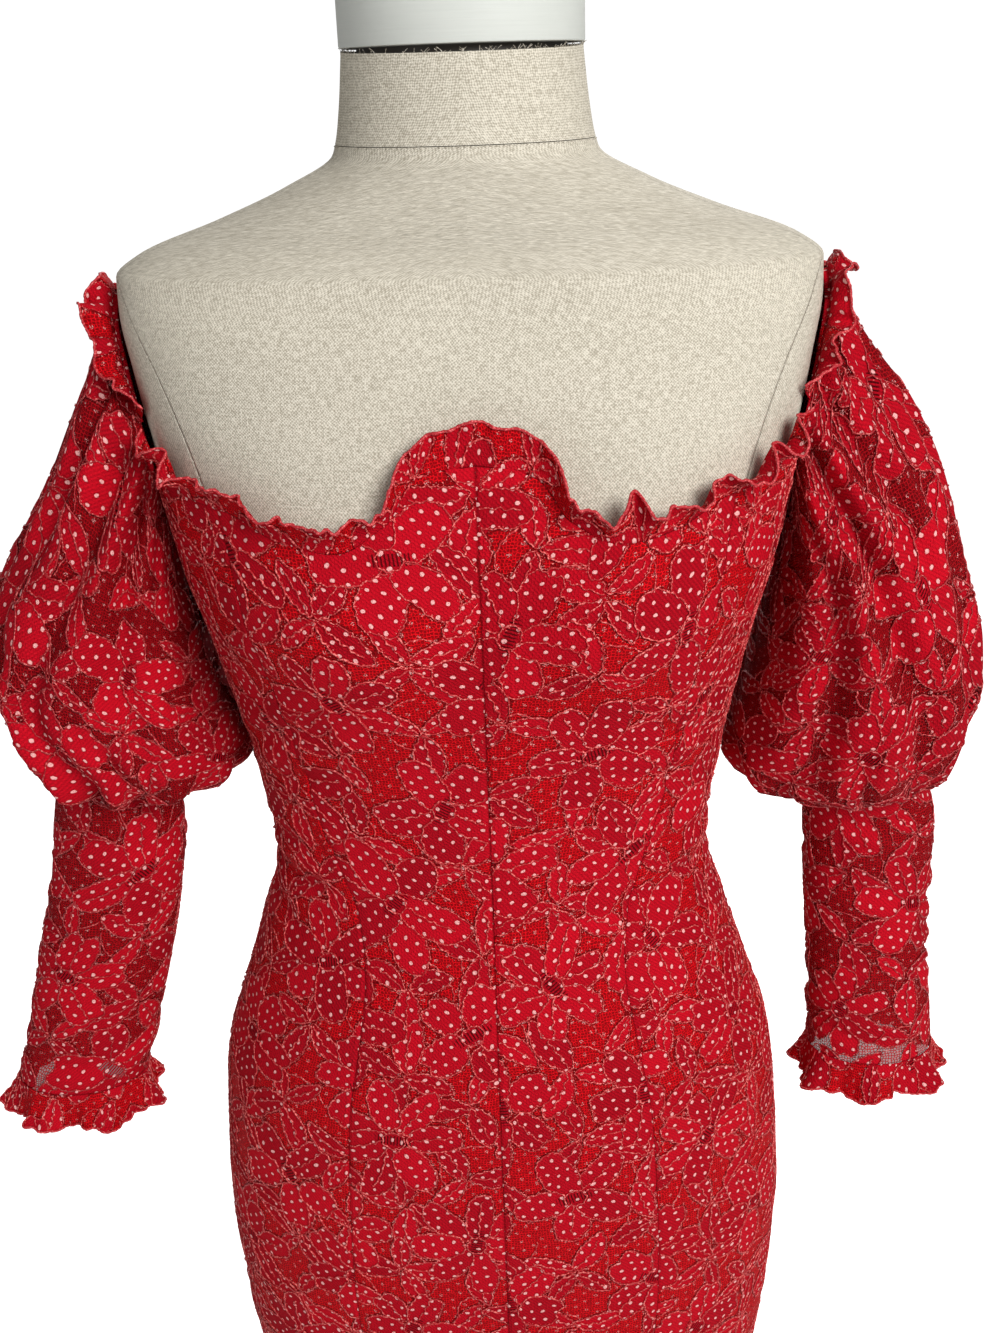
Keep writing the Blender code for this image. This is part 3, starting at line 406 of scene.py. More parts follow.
# Creases of the dress's body
# (degrees from the front, z, rise per degree in m, half reach in degrees, half width in m, depth)
BODY_CREASES = (
    (-52, 1.062, 0.0009, 22, 0.0065, 0.0022), (-38, 1.040, 0.0006, 18, 0.0055, 0.0016),
    (50, 1.058, -0.0009, 22, 0.0065, 0.0020), (36, 1.036, -0.0006, 18, 0.0055, 0.0015),
    (-70, 0.985, 0.0002, 26, 0.0050, 0.0016), (-60, 0.962, -0.0001, 30, 0.0055, 0.0020),
    (-72, 0.938, -0.0003, 26, 0.0050, 0.0015), (72, 0.982, -0.0002, 26, 0.0050, 0.0016),
    (62, 0.958, 0.0001, 30, 0.0055, 0.0020), (74, 0.934, 0.0003, 26, 0.0050, 0.0015),
    (-12, 0.968, 0.0001, 16, 0.0050, 0.0010), (14, 0.950, 0.0001, 18, 0.0050, 0.0010),
    (180, 0.966, 0.0000, 34, 0.0055, 0.0020), (165, 0.946, 0.0002, 28, 0.0050, 0.0016),
    (200, 0.990, -0.0002, 26, 0.0055, 0.0015), (120, 0.965, 0.0002, 24, 0.0050, 0.0015),
    (-120, 0.955, -0.0002, 24, 0.0050, 0.0015),
)


def body_relief(column, z, start, end):
    """How far the dress's body stands out from its plain shape: seams, creases and slack."""
    relief = np.zeros(np.broadcast(column, z).shape)
    from_zip = (180 - np.abs(column)) * METRES_PER_DEGREE + np.where(z > ZIP_BOTTOM_Z, 0.0, 0.1)
    for edge in (start, end):
        away = np.abs(column - edge) * METRES_PER_DEGREE
        groove = PRINCESS_GROOVE if abs(edge) in PRINCESS_SEAMS else SEAM_GROOVE
        groove = groove * (1 - bell(from_zip, 0.004))
        relief = relief - groove * bell(away, GROOVE_WIDTH)
        relief = relief + SEAM_SWELL * bell(away - SWELL_AWAY, SWELL_WIDTH)
    turn = swung(column, z)
    for at, level, rise, reach, width, depth in BODY_CREASES:
        across = from_front(turn - at)
        sag = (z - level - rise * across) / width
        ridge = bell(sag - CREASE_RIDGE) * 0.55 + bell(sag + CREASE_RIDGE) * 0.45
        relief = relief + depth * (ridge - bell(sag)) * bell(across, reach)
    slack = (np.sin(turn * 0.31 + z * 41) * np.sin(z * 67 + turn * 0.11)
             + 0.6 * np.sin(turn * 0.17 - z * 93 + 2.0))
    free = 1 - bell(from_zip, 0.007)
    return np.maximum((relief + SLACK * slack) * free, DEEPEST_DENT) + COVER


class PanelCut:
    """One panel of the sheath, by its column in degrees and its level.

    Like the other cuts, it gives places on the cloth and the directions out of it, turns its own
    columns and levels into lengths on the flat cut and back, and lays the grid of its mesh.
    """
    facing = 1

    def __init__(self, name, start, end):
        self.name, self.start, self.end = name, start, end
        self.levels = np.linspace(HEM_Z, PANEL_TOP_Z, PANEL_LEVELS)
        self.columns = np.linspace(start, end, PANEL_COLUMNS)
        grid = on_dress(self.levels[:, None], swung(self.columns[None, :], self.levels[:, None]), WALL)
        middle = PANEL_COLUMNS // 2
        across = travelled_across(grid)
        self.across = across - across[:, [middle]]
        self.across -= self.across.min()
        self.along = travelled(grid[:, middle])
        self.width, self.length = self.across.max(), self.along[-1]

    def place(self, column, z):
        relief = body_relief(column, z, self.start, self.end)
        places = on_dress(z, swung(column, z), WALL + relief)
        beside_zip = (z > ZIP_BOTTOM_Z + 0.002) & (z < ZIP_TOP_Z - 0.001) & (np.abs(column) > 90)
        places[..., 0] += np.sign(column) * beside_zip * ZIP_SLIT * bell(places[..., 0], 0.003)
        return places

    def normal(self, column, z):
        across = self.place(column + 0.25, z) - self.place(column - 0.25, z)
        up = self.place(column, z + 0.0008) - self.place(column, z - 0.0008)
        return unit(np.cross(across, up))

    def table_row(self, z):
        """Where a level comes in the table of the panel's widths."""
        return (z - self.levels[0]) / (self.levels[1] - self.levels[0])

    def to_flat(self, column, z):
        place = (column - self.start) / (self.columns[1] - self.columns[0])
        return between(self.across, self.table_row(z), place), np.interp(z, self.levels, self.along)

    def from_flat(self, u, v):
        """Columns, levels, and which of the places lie on the cloth."""
        z = np.interp(v, self.along, self.levels)
        row = np.clip(self.table_row(z), 0, PANEL_LEVELS - 1.001)
        low = row.astype(int)
        share = (row - low)[:, None]
        widths = self.across[low] * (1 - share) + self.across[low + 1] * share
        k = np.clip((widths < u[:, None]).sum(axis=1), 1, widths.shape[1] - 1)
        here = np.arange(len(u))
        before, after = widths[here, k - 1], widths[here, k]
        column = self.columns[k - 1] + (u - before) / (after - before) * (self.columns[1] - self.columns[0])
        good = (u > widths[:, 0] + 0.0008) & (u < widths[:, -1] - 0.0008)
        good &= (v > 0.001) & (v < self.length)
        good &= z < top_z(column) - 0.0008
        return column, z, good

    def seam_distance(self, column, z):
        """Millimetres to the nearest upright seam, and to the strip's edge beside the centre front."""
        row = self.table_row(z)
        last = np.full(row.shape, PANEL_COLUMNS - 1.0)
        width = between(self.across, row, last) - between(self.across, row, 0 * row)
        scale = width / (self.end - self.start) * 1000
        faint = {edge: 0.65 if abs(edge) in PRINCESS_SEAMS else 0.52 for edge in (self.start, self.end)}
        apart = np.minimum((column - self.start) * scale + faint[self.start],
                           (self.end - column) * scale + faint[self.end])
        if self.name == "front_centre_left":
            strip = np.abs((column - self.start) * scale - STRIP_WIDTH * 1000) + 0.7
            apart = np.minimum(apart, np.where(z > STRIP_FOOT_Z, strip, NO_SEAM_NEAR))
        return apart

    def mesh_grid(self):
        """Columns, close together beside the seams, and the levels of each."""
        cell = BACK_CELL if self.name.startswith("back") else BODY_CELL
        count = max(12, round(self.width / cell))
        plain = np.linspace(self.start, self.end, count + 1)
        seam = np.array([0.3, 0.7, 1.2])
        columns = np.unique(np.concatenate([plain, self.start + seam, self.end - seam]))
        low = np.linspace(HEM_Z, JOIN_TOP_Z, round((JOIN_TOP_Z - HEM_Z) / cell) + 1)
        upper = np.linspace(0, 1, 22)[1:]
        tops = top_z(columns)
        rows = [np.full(len(columns), z) for z in low]
        rows += [JOIN_TOP_Z + (tops - JOIN_TOP_Z) * share for share in upper]
        levels = np.array(rows)
        return np.broadcast_to(columns, levels.shape), levels


class GridCut:
    """A sleeve, cuff or ruffle, by its column and row numbers in a fine grid of points."""

    def __init__(self, name, places, width, facing, closed):
        self.name, self.places, self.facing, self.closed = name, places, facing, closed
        widths = np.linalg.norm(np.diff(places, axis=1), axis=2).mean(axis=0)
        widths = np.linspace(0, 1, places.shape[1]) if closed else np.concatenate([[0], np.cumsum(widths)])
        self.u = widths / widths[-1] * width
        steps = np.linalg.norm(np.diff(places, axis=0), axis=2).mean(axis=1)
        self.v = np.concatenate([[0.0], np.cumsum(steps)])
        self.width, self.length = width, self.v[-1]
        across = np.gradient(places, axis=1)
        if closed:
            seam = (places[:, 1] - places[:, -2]) / 2
            across[:, 0] = across[:, -1] = seam
        self.normals = unit(np.cross(across, np.gradient(places, axis=0))) * facing

    def place(self, column, row):
        return between(self.places, row, column)

    def normal(self, column, row):
        return unit(between(self.normals, row, column))

    def to_flat(self, column, row):
        return (np.interp(column, np.arange(len(self.u)), self.u),
                np.interp(row, np.arange(len(self.v)), self.v))

    def from_flat(self, u, v):
        """Columns, rows, and which of the places lie on the cloth."""
        good = (u > 0) & (u < self.width) & (v > 0.0006) & (v < self.length - 0.0006)
        return (np.interp(u, self.u, np.arange(len(self.u))),
                np.interp(v, self.v, np.arange(len(self.v))), good)

    def seam_distance(self, column, row):
        """Millimetres from the nearer end, where the cloth is gathered or rolled."""
        v = np.interp(row, np.arange(len(self.v)), self.v)
        return np.minimum(v, self.length - v) * 1000 + 0.4

    def mesh_grid(self):
        rows, columns = self.places.shape[:2]
        return np.meshgrid(np.arange(columns, dtype=float), np.arange(rows, dtype=float))


def smooth_rows(keys, at):
    """Rows between key rows, on a smooth curve through them."""
    last = len(keys) - 1
    i = np.clip(np.floor(at).astype(int), 0, last - 1)
    t = (at - i)[:, None, None]
    before, start, end, after = (keys[np.clip(i + k, 0, last)] for k in (-1, 0, 1, 2))
    leave, arrive = (end - before) / 2, (after - start) / 2
    return ((2 * t ** 3 - 3 * t ** 2 + 1) * start + (t ** 3 - 2 * t ** 2 + t) * leave
            + (3 * t ** 2 - 2 * t ** 3) * end + (t ** 3 - t ** 2) * arrive)


def ripple(turn, seed, counts, strength):
    """Uneven waves round a closed edge."""
    rng = random.Random(seed)
    total = np.zeros_like(turn)
    for count in counts:
        total += np.cos(count * turn + rng.uniform(0, math.tau)) * rng.uniform(0.6, 1.0)
    return total * strength


# Large drag lines of the puff sleeves
# (side, from degrees round the sleeve, from ring, to degrees, to ring, width in degrees, depth)
PUFF_DRAGS = (
    (-1, 78, 0.8, 62, 6.4, 7, 0.0060), (-1, 60, 6.0, 80, 10.6, 7, 0.0060), (-1, 48, 0.8, 36, 4.6, 6, 0.0045),
    (-1, 102, 1.0, 110, 6.0, 8, 0.0050), (-1, 28, 4.6, 50, 9.6, 7, 0.0050), (-1, 8, 3.6, 24, 9.0, 8, 0.0045),
    (-1, 122, 4.0, 104, 9.4, 8, 0.0050), (-1, 92, 6.5, 98, 10.6, 5, 0.0040),
    (1, 96, 0.8, 84, 5.4, 7, 0.0065), (1, 70, 0.8, 58, 4.4, 6, 0.0050), (1, 44, 0.8, 30, 5.6, 7, 0.0045),
    (1, 112, 2.5, 124, 8.4, 9, 0.0060), (1, 74, 5.4, 56, 9.8, 7, 0.0055), (1, 40, 5.4, 22, 9.6, 7, 0.0045),
    (1, 98, 7.0, 84, 10.8, 6, 0.0050), (1, 14, 2.4, 4, 8.4, 8, 0.0045),
)


def small_drags(side):
    """Short creases that fan out from a puff's casing and from its lower seam, all round it."""
    rng = random.Random(61 + side)
    drags = []
    for start, reach in ((0.7, 3.0), (11.2, -2.7)):
        turn = rng.uniform(0, 14)
        while turn < 360:
            drags.append((side, turn, start, turn + rng.uniform(-9, 9),
                          start + reach * rng.uniform(0.5, 1.2), rng.uniform(3.6, 5.5),
                          rng.uniform(0.0014, 0.0032)))
            turn += rng.uniform(12, 22)
    for _ in range(16):
        turn, ring = rng.uniform(0, 360), rng.uniform(3, 8)
        drags.append((side, turn, ring, turn + rng.uniform(-20, 20), ring + rng.uniform(1.6, 3.2),
                      rng.uniform(4, 7), rng.uniform(0.0015, 0.0035)))
    return drags


def drag_relief(drags, degrees, rings):
    """How far creases between two places push a sleeve's surface in, and out along their sides."""
    relief = np.zeros((len(rings), len(degrees)))
    for _, from_turn, from_ring, to_turn, to_ring, width, depth in drags:
        share = (rings[:, None] - from_ring) / (to_ring - from_ring)
        line = from_turn + (to_turn - from_turn) * np.clip(share, -0.3, 1.3)
        across = from_front(degrees[None, :] - line) / width
        fade = np.clip(share * 5 + 0.6, 0, 1) * np.clip((1.12 - share) * 4, 0, 1)
        relief += depth * fade * (0.45 * bell(np.abs(across) - CREASE_RIDGE) - bell(across))
    return relief


def puff_cut(word, side):
    """A puff sleeve with its large folds, and small gathers at its casing and its lower seam."""
    degrees = np.linspace(0, 360, 181)
    turn = np.radians(degrees)
    keys = np.array([puff_ring(ring, degrees, side) for ring in range(len(PUFF_RINGS))])
    at = np.linspace(0, len(PUFF_RINGS) - 1, 113)
    places = smooth_rows(keys, at)
    out = out_of_sleeve(turn, side)
    outer_side = np.clip(0.45 + 0.75 * np.cos(turn), 0.15, 1.0)
    top = ripple(turn, 11 + side, (17, 23, 29, 34), 0.00085)
    low = ripple(turn, 21 + side, (15, 19, 26, 31, 38), 0.00085)
    mid = ripple(turn, 31 + side, (7, 9, 13), 0.0012)
    gathered_top = np.sin(np.clip(at / 0.7, 0, 1) * math.pi / 2) * bell(at, 2.6)
    gathered_low = np.clip((12 - at) / 1.0, 0, 1) * bell(at - 10.2, 2.4)
    swell = np.clip((at - 0.5) / 2, 0, 1) * np.clip((10.6 - at) / 2, 0, 1)
    relief = (gathered_top[:, None] * top + gathered_low[:, None] * low
              + (swell * np.sin(at * 0.8 + 1.2 * side))[:, None] * mid)
    drags = [drag for drag in PUFF_DRAGS if drag[0] == side] + small_drags(side)
    held = np.clip(at / 0.8, 0, 1) * np.clip((11.8 - at) / 0.8, 0, 1)
    relief = relief * outer_side + drag_relief(drags, degrees, at) * held[:, None] * np.clip(
        0.75 + 0.6 * np.cos(turn - 0.6), 0.2, 1.0)
    places = places + out * relief[..., None]
    return GridCut(f"puff_sleeve_{word}", places, PUFF_CUT_WIDTH, side, closed=True)


def lower_sleeve_cut(word, side):
    """A close lower sleeve, with soft creases across it."""
    degrees = np.linspace(0, 360, 91)
    shares = np.linspace(0, 1, 82)
    places = np.array([lower_sleeve_ring(share, degrees, side) for share in shares])
    turn = np.radians(degrees)
    out = out_of_sleeve(turn, side)
    rng = random.Random(41 + side)
    relief = np.zeros((len(shares), len(degrees)))
    for _ in range(18):
        level, at = rng.uniform(0.12, 0.94), rng.uniform(0, 360)
        slant, width = rng.uniform(-0.05, 0.05), rng.uniform(0.018, 0.032)
        across = from_front(degrees - at)
        sag = (shares[:, None] - level - slant * across[None, :] / 40) / width
        ridge = 0.7 * bell(sag - 1.8) - bell(sag)
        relief += 0.0017 * ridge * bell(across, 55)
    relief *= (np.clip(shares / 0.12, 0, 1) * np.clip((1 - shares) / 0.08, 0, 1))[:, None]
    places = places + out * relief[..., None]
    return GridCut(f"lower_sleeve_{word}", places, LOWER_CUT_WIDTH, side, closed=True)


def cuff_cut(word, side):
    """The frill at a sleeve's end, with a curled, uneven edge."""
    degrees = np.linspace(0, 360, 241)
    turn = np.radians(degrees)
    curl = ripple(turn, 51 + side, (17, 23, 31), 0.0011)
    rows = []
    for share in np.linspace(0, 1, 12):
        wave = np.cos(CUFF_WAVES * turn + side) + 0.35 * np.cos(3 * turn - 1.0)
        flare = CUFF_FLARE * share ** 1.4 + CUFF_WAVE * share * wave + curl * share ** 2
        drop = CUFF_DROP * share * (1 - 0.10 * np.cos(CUFF_WAVES * turn + side + 1.2))
        rows.append(lower_sleeve_ring(1.0, degrees, side, drop - 0.0012, flare + 0.0005))
    return GridCut(f"cuff_ruffle_{word}", np.array(rows), CUFF_CUT_WIDTH, side, closed=True)


def ruffle_places(base, up, out, lean, height, seed):
    """Rows of a ruffle from its seam to its curled free edge."""
    steps = np.linspace(0, 1, RUFFLE_ROWS)
    length = travelled(base)
    rng = random.Random(seed)
    curl = np.zeros(len(base))
    for wave in (0.0062, 0.0085, 0.0125, 0.019):
        curl += np.sin(length / wave * math.tau + rng.uniform(0, math.tau)) * rng.uniform(0.5, 1.0)
    tall = 1 + 0.05 * np.sin(length / 0.021 * math.tau + rng.uniform(0, 6))
    ends = np.minimum(length, length[-1] - length)
    held = np.clip(ends / 0.006, 0, 1)
    rows, point = [base], base
    for k in range(1, RUFFLE_ROWS):
        middle = (steps[k] + steps[k - 1]) / 2
        bend = np.interp(middle, [0, 0.15, 0.475, 0.825, 1], [0.15, 0.30, 0.75, 1.0, 1.0])
        angle = np.radians(90 + (lean - 90) * bend)[:, None]
        step = (height * tall / (RUFFLE_ROWS - 1))[:, None]
        point = point + (up * np.sin(angle) + out * np.cos(angle)) * step
        normal = out * np.sin(angle) - up * np.cos(angle)
        rows.append(point + normal * (0.0010 * curl * held * steps[k] ** 1.6)[:, None])
    return np.array(rows)


def neck_ruffle_cut(name, table, start, end, seed):
    """A frill along the neckline, between two columns."""
    columns = np.arange(start, end + 0.001, 0.30)
    degrees = swung(columns, SWING_HIGH_Z)
    base = on_dress(top_z(columns), degrees, WALL + 0.0010)
    base[:, 2] -= 0.0012
    along = unit(np.gradient(base, axis=0))
    square_up = unit(np.array([0, 0, 1.0]) - along * along[:, 2:])
    up = unit(square_up * RUFFLE_SLANT + np.array([0, 0, 1.0]))
    if end == 180 or start == 180:
        share = np.clip(np.abs(columns - 180) / 3, 0, 1)[:, None]
        up = unit(up * share + np.array([0, 0, 1.0]) * (1 - share))
        base[:, 0] += (1 if end == 180 else -1) * (1 - share[:, 0]) * SEAM_GAP / 2
    lean, tall = (curve(table, degrees % 360 if start > 0 else degrees, c) for c in (1, 2))
    places = ruffle_places(base, up, outward(base[:, 2], degrees), lean, RUFFLE_HEIGHT * tall, seed)
    length = np.linalg.norm(np.diff(base, axis=0), axis=1).sum()
    return GridCut(name, places, length * RUFFLE_FULLNESS, 1, closed=False)


def shoulder_ruffle_cut(word, side, seed):
    """A frill over a shoulder, with the casing that carries it."""
    degrees = np.arange(RUFFLE_SHOULDER[0][0], RUFFLE_SHOULDER[-1][0] + 0.001, 0.75)
    facing = sleeve_top_facing(degrees, side)
    base = sleeve_top(degrees, side) + facing * 0.0007
    along = unit(np.gradient(base, axis=0))
    out = unit(facing - along * (facing * along).sum(axis=1, keepdims=True))
    up = unit(np.cross(along, out) * side)
    lean, tall = (curve(RUFFLE_SHOULDER, degrees, c) for c in (2 if side > 0 else 1, 3))
    places = ruffle_places(base - up * 0.0010, up, out, lean, SHOULDER_RUFFLE_HEIGHT * tall, seed)
    casing = [places[0] - facing * CASING_WIDTH * share - up * 0.0008 * share for share in (1, 0.66, 0.33)]
    places = np.concatenate([casing, places])
    length = np.linalg.norm(np.diff(base, axis=0), axis=1).sum()
    return GridCut(f"shoulder_ruffle_{word}", places, length * RUFFLE_FULLNESS, -side, closed=False)


# Flowers and leaves of the lace, on the flat cut

def motif_reach(motif, angle):
    """Distance from a motif's middle to its edge, by direction."""
    c, s = np.abs(np.cos(angle)), np.abs(np.sin(angle))
    reach = ((c / motif.long) ** motif.point + (s / motif.wide) ** motif.point) ** (-1 / motif.point)
    from_tip = (angle + math.pi) % math.tau - math.pi
    dent = motif.notch * bell(from_tip, 0.34)
    return reach * (1 - dent + motif.scallop * np.cos(motif.count * angle + motif.tone * 6))


def inside_by(motif, u, v):
    """How far inside a motif's edge a place on the flat cut is."""
    c, s = math.cos(motif.turn), math.sin(motif.turn)
    x, y = (u - motif.u) * c + (v - motif.v) * s, (v - motif.v) * c - (u - motif.u) * s
    y = y - motif.bend * x * x
    return motif_reach(motif, np.arctan2(y, x)) - np.hypot(x, y)


def onto_flat(motif, x, y):
    """Places on the flat cut from a motif's own length and breadth."""
    y = y + motif.bend * x * x
    c, s = math.cos(motif.turn), math.sin(motif.turn)
    return np.stack([motif.u + x * c - y * s, motif.v + x * s + y * c], axis=-1)


def even_steps(line, step):
    """The same line with points at even steps."""
    length = travelled(line)
    count = max(2, round(length[-1] / step))
    at = np.linspace(0, length[-1], count + 1)
    return np.stack([np.interp(at, length, line[:, k]) for k in range(line.shape[1])], axis=-1)


def flower(rng, u, v):
    """A flower with a ring of petals round an open-worked middle."""
    petals = rng.choice((5, 5, 6, 6, 7))
    start, long = rng.uniform(0, math.tau), rng.uniform(0.0160, 0.0200)
    wide = long * {5: 0.66, 6: 0.57, 7: 0.49}[petals]
    notch = rng.choice((0.0, 0.12, 0.30))
    parts = []
    for k in range(petals):
        turn = start + math.tau * k / petals + rng.uniform(-0.16, 0.16)
        away = long * rng.uniform(0.92, 1.16) + 0.0035
        parts.append(Motif(
            u + math.cos(turn) * away, v + math.sin(turn) * away, turn,
            long * rng.uniform(0.80, 1.15), wide * rng.uniform(0.85, 1.15), 2.25, notch, 0.032,
            rng.choice((5, 7, 9)), rng.uniform(-9, 9), 10 + k % 2 + rng.random() * 0.2,
            rng.random(), rng.random() < 0.45))
    parts.append(Motif(u, v, rng.uniform(0, math.tau), 0.0066, 0.0056, 2.2, 0, 0.05, 8, 0,
                       FLOWER_MIDDLE_RANK, rng.random() * 0.4, False))
    return parts


def leaf_spray(rng, u, v):
    """Two to four pointed leaves from one stem."""
    parts, start = [], rng.uniform(0, math.tau)
    leaves = rng.choice((3, 3, 4, 4))
    for k in range(leaves):
        turn = start + math.tau * k / leaves + rng.uniform(-0.3, 0.3)
        long = rng.uniform(0.0125, 0.0195)
        away = long * 1.06
        parts.append(Motif(
            u + math.cos(turn) * away, v + math.sin(turn) * away, turn, long,
            long * rng.uniform(0.38, 0.54), 1.6, 0, 0.040, 15, rng.uniform(-14, 14),
            rng.random() * 4, rng.random(), True))
    return parts


def lace_layout(width, length, seed):
    """Motifs and loose tendrils over a flat cut."""
    rng = random.Random(seed)
    motifs, tendrils = [], []
    rise = FLOWER_STEP * math.sqrt(3) / 2
    shift_u, shift_v = rng.uniform(0, FLOWER_STEP), rng.uniform(0, rise)
    for j in range(-1, int(length / rise) + 3):
        for i in range(-1, int(width / FLOWER_STEP) + 3):
            u = (i + 0.5 * (j % 2)) * FLOWER_STEP - shift_u + rng.uniform(-0.006, 0.006)
            v = j * rise - shift_v + rng.uniform(-0.006, 0.006)
            motifs += flower(rng, u, v)
            for k in (1, -1):
                centre_u = u + FLOWER_STEP / 2 + rng.uniform(-0.004, 0.004)
                centre_v = v + k * rise / 3 + rng.uniform(-0.004, 0.004)
                motifs += leaf_spray(rng, centre_u, centre_v)
                turn = rng.uniform(0, math.tau)
                t = np.linspace(0, 1, 40)
                curl = turn + rng.choice((-1, 1)) * 4.6 * t
                reach = 0.027 * (1 - t)
                swirl = np.stack([centre_u + reach * np.cos(curl),
                                  centre_v + reach * np.sin(curl)], axis=-1)
                tendrils.append(swirl)
    near = [m for m in motifs if -0.04 < m.u < width + 0.04 and -0.04 < m.v < length + 0.04]
    return near, tendrils


def lace_marks(motifs, u, v):
    """For places on the flat cut: how far inside the lace's motifs, the tone of the top one,
    and the place within a flower's open-worked middle."""
    depth = np.full(u.shape, FAR_OUTSIDE)
    tone = np.full(u.shape, 0.5)
    rank = np.full(u.shape, -1.0)
    middle = np.zeros(u.shape + (3,))
    for motif in motifs:
        near = (np.abs(u - motif.u) < MOTIF_REACH) & (np.abs(v - motif.v) < MOTIF_REACH)
        if not near.any():
            continue
        inside = inside_by(motif, u[near], v[near])
        depth[near] = np.maximum(depth[near], inside)
        top = near.copy()
        top[near] = (inside > 0) & (motif.rank > rank[near])
        rank[top], tone[top] = motif.rank, motif.tone
        if motif.rank == FLOWER_MIDDLE_RANK:
            c, s = math.cos(motif.turn), math.sin(motif.turn)
            du, dv = (u[near] - motif.u) * 1000, (v[near] - motif.v) * 1000
            close = (inside > FAR_OUTSIDE).astype(float)
            middle[near] = np.stack([du * c + dv * s, dv * c - du * s, close], axis=-1)
    return depth * 1000, tone, middle


def cord_lines(cut, motifs, tendrils, step, seed):
    """The lace's cords as lines on the cloth: each a list of places and of directions out of it."""
    rng = np.random.default_rng(seed)
    angle = np.linspace(0, math.tau, 121)
    lines = []
    for motif in motifs:
        reach = motif_reach(motif, angle)
        lines.append((motif.rank, motif,
                      onto_flat(motif, reach * np.cos(angle), reach * np.sin(angle))))
        if motif.vein:
            x = np.linspace(-motif.long * 0.9, motif.long * 0.62, 24)
            lines.append((motif.rank + 0.01, motif, onto_flat(motif, x, 0.0006 * np.sin(x * 900))))
    lines += [(-1, None, line) for line in tendrils]
    runs = []
    for rank, owner, line in lines:
        line = even_steps(line, step)
        u, v = line[:, 0], line[:, 1]
        if u.max() < 0 or v.max() < 0 or u.min() > cut.width or v.min() > cut.length:
            continue
        shown = np.ones(len(line), bool)
        for other in motifs:
            near = max(abs(other.u - u.mean()), abs(other.v - v.mean())) <= 2 * MOTIF_REACH
            if near and other is not owner and other.rank > rank:
                shown &= inside_by(other, u, v) < 0.0004
        a, b, good = cut.from_flat(u, v)
        shown &= good
        if shown.sum() < 2:
            continue
        way = np.arange(len(line)) * step
        wander = 0.00018 * rng.standard_normal(len(line)) + 0.00032 * np.sin(
            way / rng.uniform(0.0045, 0.0065) * math.tau + rng.uniform(0, 6))
        lift = cut.normal(a, b)
        places = cut.place(a, b)
        along = unit(np.gradient(places, axis=0))
        places = places + np.cross(along, lift) * wander[:, None] + lift * CORD_RADIUS * 0.7
        starts = np.flatnonzero(shown & ~np.concatenate([[False], shown[:-1]]))
        ends = np.flatnonzero(shown & ~np.concatenate([shown[1:], [False]]))
        runs += [places[s:e + 1] for s, e in zip(starts, ends) if e > s]
    return runs


# Node trees

class Board:
    """A short way to add nodes to a tree and join them."""

    def __init__(self, tree):
        self.tree = tree

    def join(self, target, inputs):
        """Sets a node's inputs: a socket is linked, and anything else is the input's own value."""
        for socket, value in dict(inputs).items():
            if isinstance(value, bpy.types.NodeSocket):
                self.tree.links.new(value, target.inputs[socket])
            else:
                target.inputs[socket].default_value = value

    def node(self, kind, inputs=(), **settings):
        """A new node, with its settings and inputs."""
        made = self.tree.nodes.new(kind)
        for setting, value in settings.items():
            setattr(made, setting, value)
        self.join(made, inputs)
        return made

    def first(self, kind, inputs=(), **settings):
        """The first output of a new node."""
        return self.node(kind, inputs, **settings).outputs[0]

    def sum(self, operation, a, b=0.0, c=0.0, clamp=False):
        """The result of arithmetic, by the operation's own name."""
        return self.first("ShaderNodeMath", {0: a, 1: b, 2: c}, operation=operation, use_clamp=clamp)

    def times(self, a, b):
        return self.sum("MULTIPLY", a, b)

    def plus(self, a, b):
        return self.sum("ADD", a, b)

    def less(self, a, b):
        return self.sum("SUBTRACT", a, b)

    def size(self, value):
        """The value without its sign."""
        return self.sum("ABSOLUTE", value)

    def step(self, value, low, high):
        """0 below low and 1 above high, or the other way round."""
        return self.first("ShaderNodeMapRange", {"Value": value, "From Min": low, "From Max": high},
                          interpolation_type="SMOOTHSTEP")

    def mix(self, share, a, b):
        """Colour a, with b in its place by a share."""
        return self.node("ShaderNodeMix", {0: share, 6: a, 7: b}, data_type="RGBA").outputs[2]

    def vector(self, operation, a, b=(0, 0, 0), scale=None):
        inputs = {0: a} if operation == "SCALE" else {0: a, 1: b}
        if scale is not None:
            inputs["Scale"] = scale
        made = self.node("ShaderNodeVectorMath", inputs, operation=operation)
        return made.outputs["Value" if operation == "LENGTH" else "Vector"]

    def noise(self, where, scale, detail=2.0, colour=False):
        made = self.node("ShaderNodeTexNoise", {"Vector": where, "Scale": scale, "Detail": detail})
        return made.outputs["Color" if colour else 0]

    def parts(self, vector):
        return self.node("ShaderNodeSeparateXYZ", {0: vector}).outputs

    def here(self):
        """Each place in the object's own coordinates."""
        return self.node("ShaderNodeTexCoord").outputs["Object"]

    def mark(self, name, output="Fac"):
        """A value that the mesh carries."""
        return self.node("ShaderNodeAttribute", attribute_name=name).outputs[output]

    def bump(self, height, distance, strength):
        return self.first("ShaderNodeBump", {"Height": height, "Distance": distance,
                                             "Strength": strength})


def new_tree(name, kind, inputs, outputs):
    """A node tree with named inputs and outputs: its board, what it is given and its last node."""
    tree = bpy.data.node_groups.new(name, kind)
    for in_out, sockets in (("INPUT", inputs), ("OUTPUT", outputs)):
        for label, socket in sockets:
            tree.interface.new_socket(label, in_out=in_out, socket_type="NodeSocket" + socket)
    return Board(tree), tree.nodes.new("NodeGroupInput").outputs, tree.nodes.new("NodeGroupOutput")


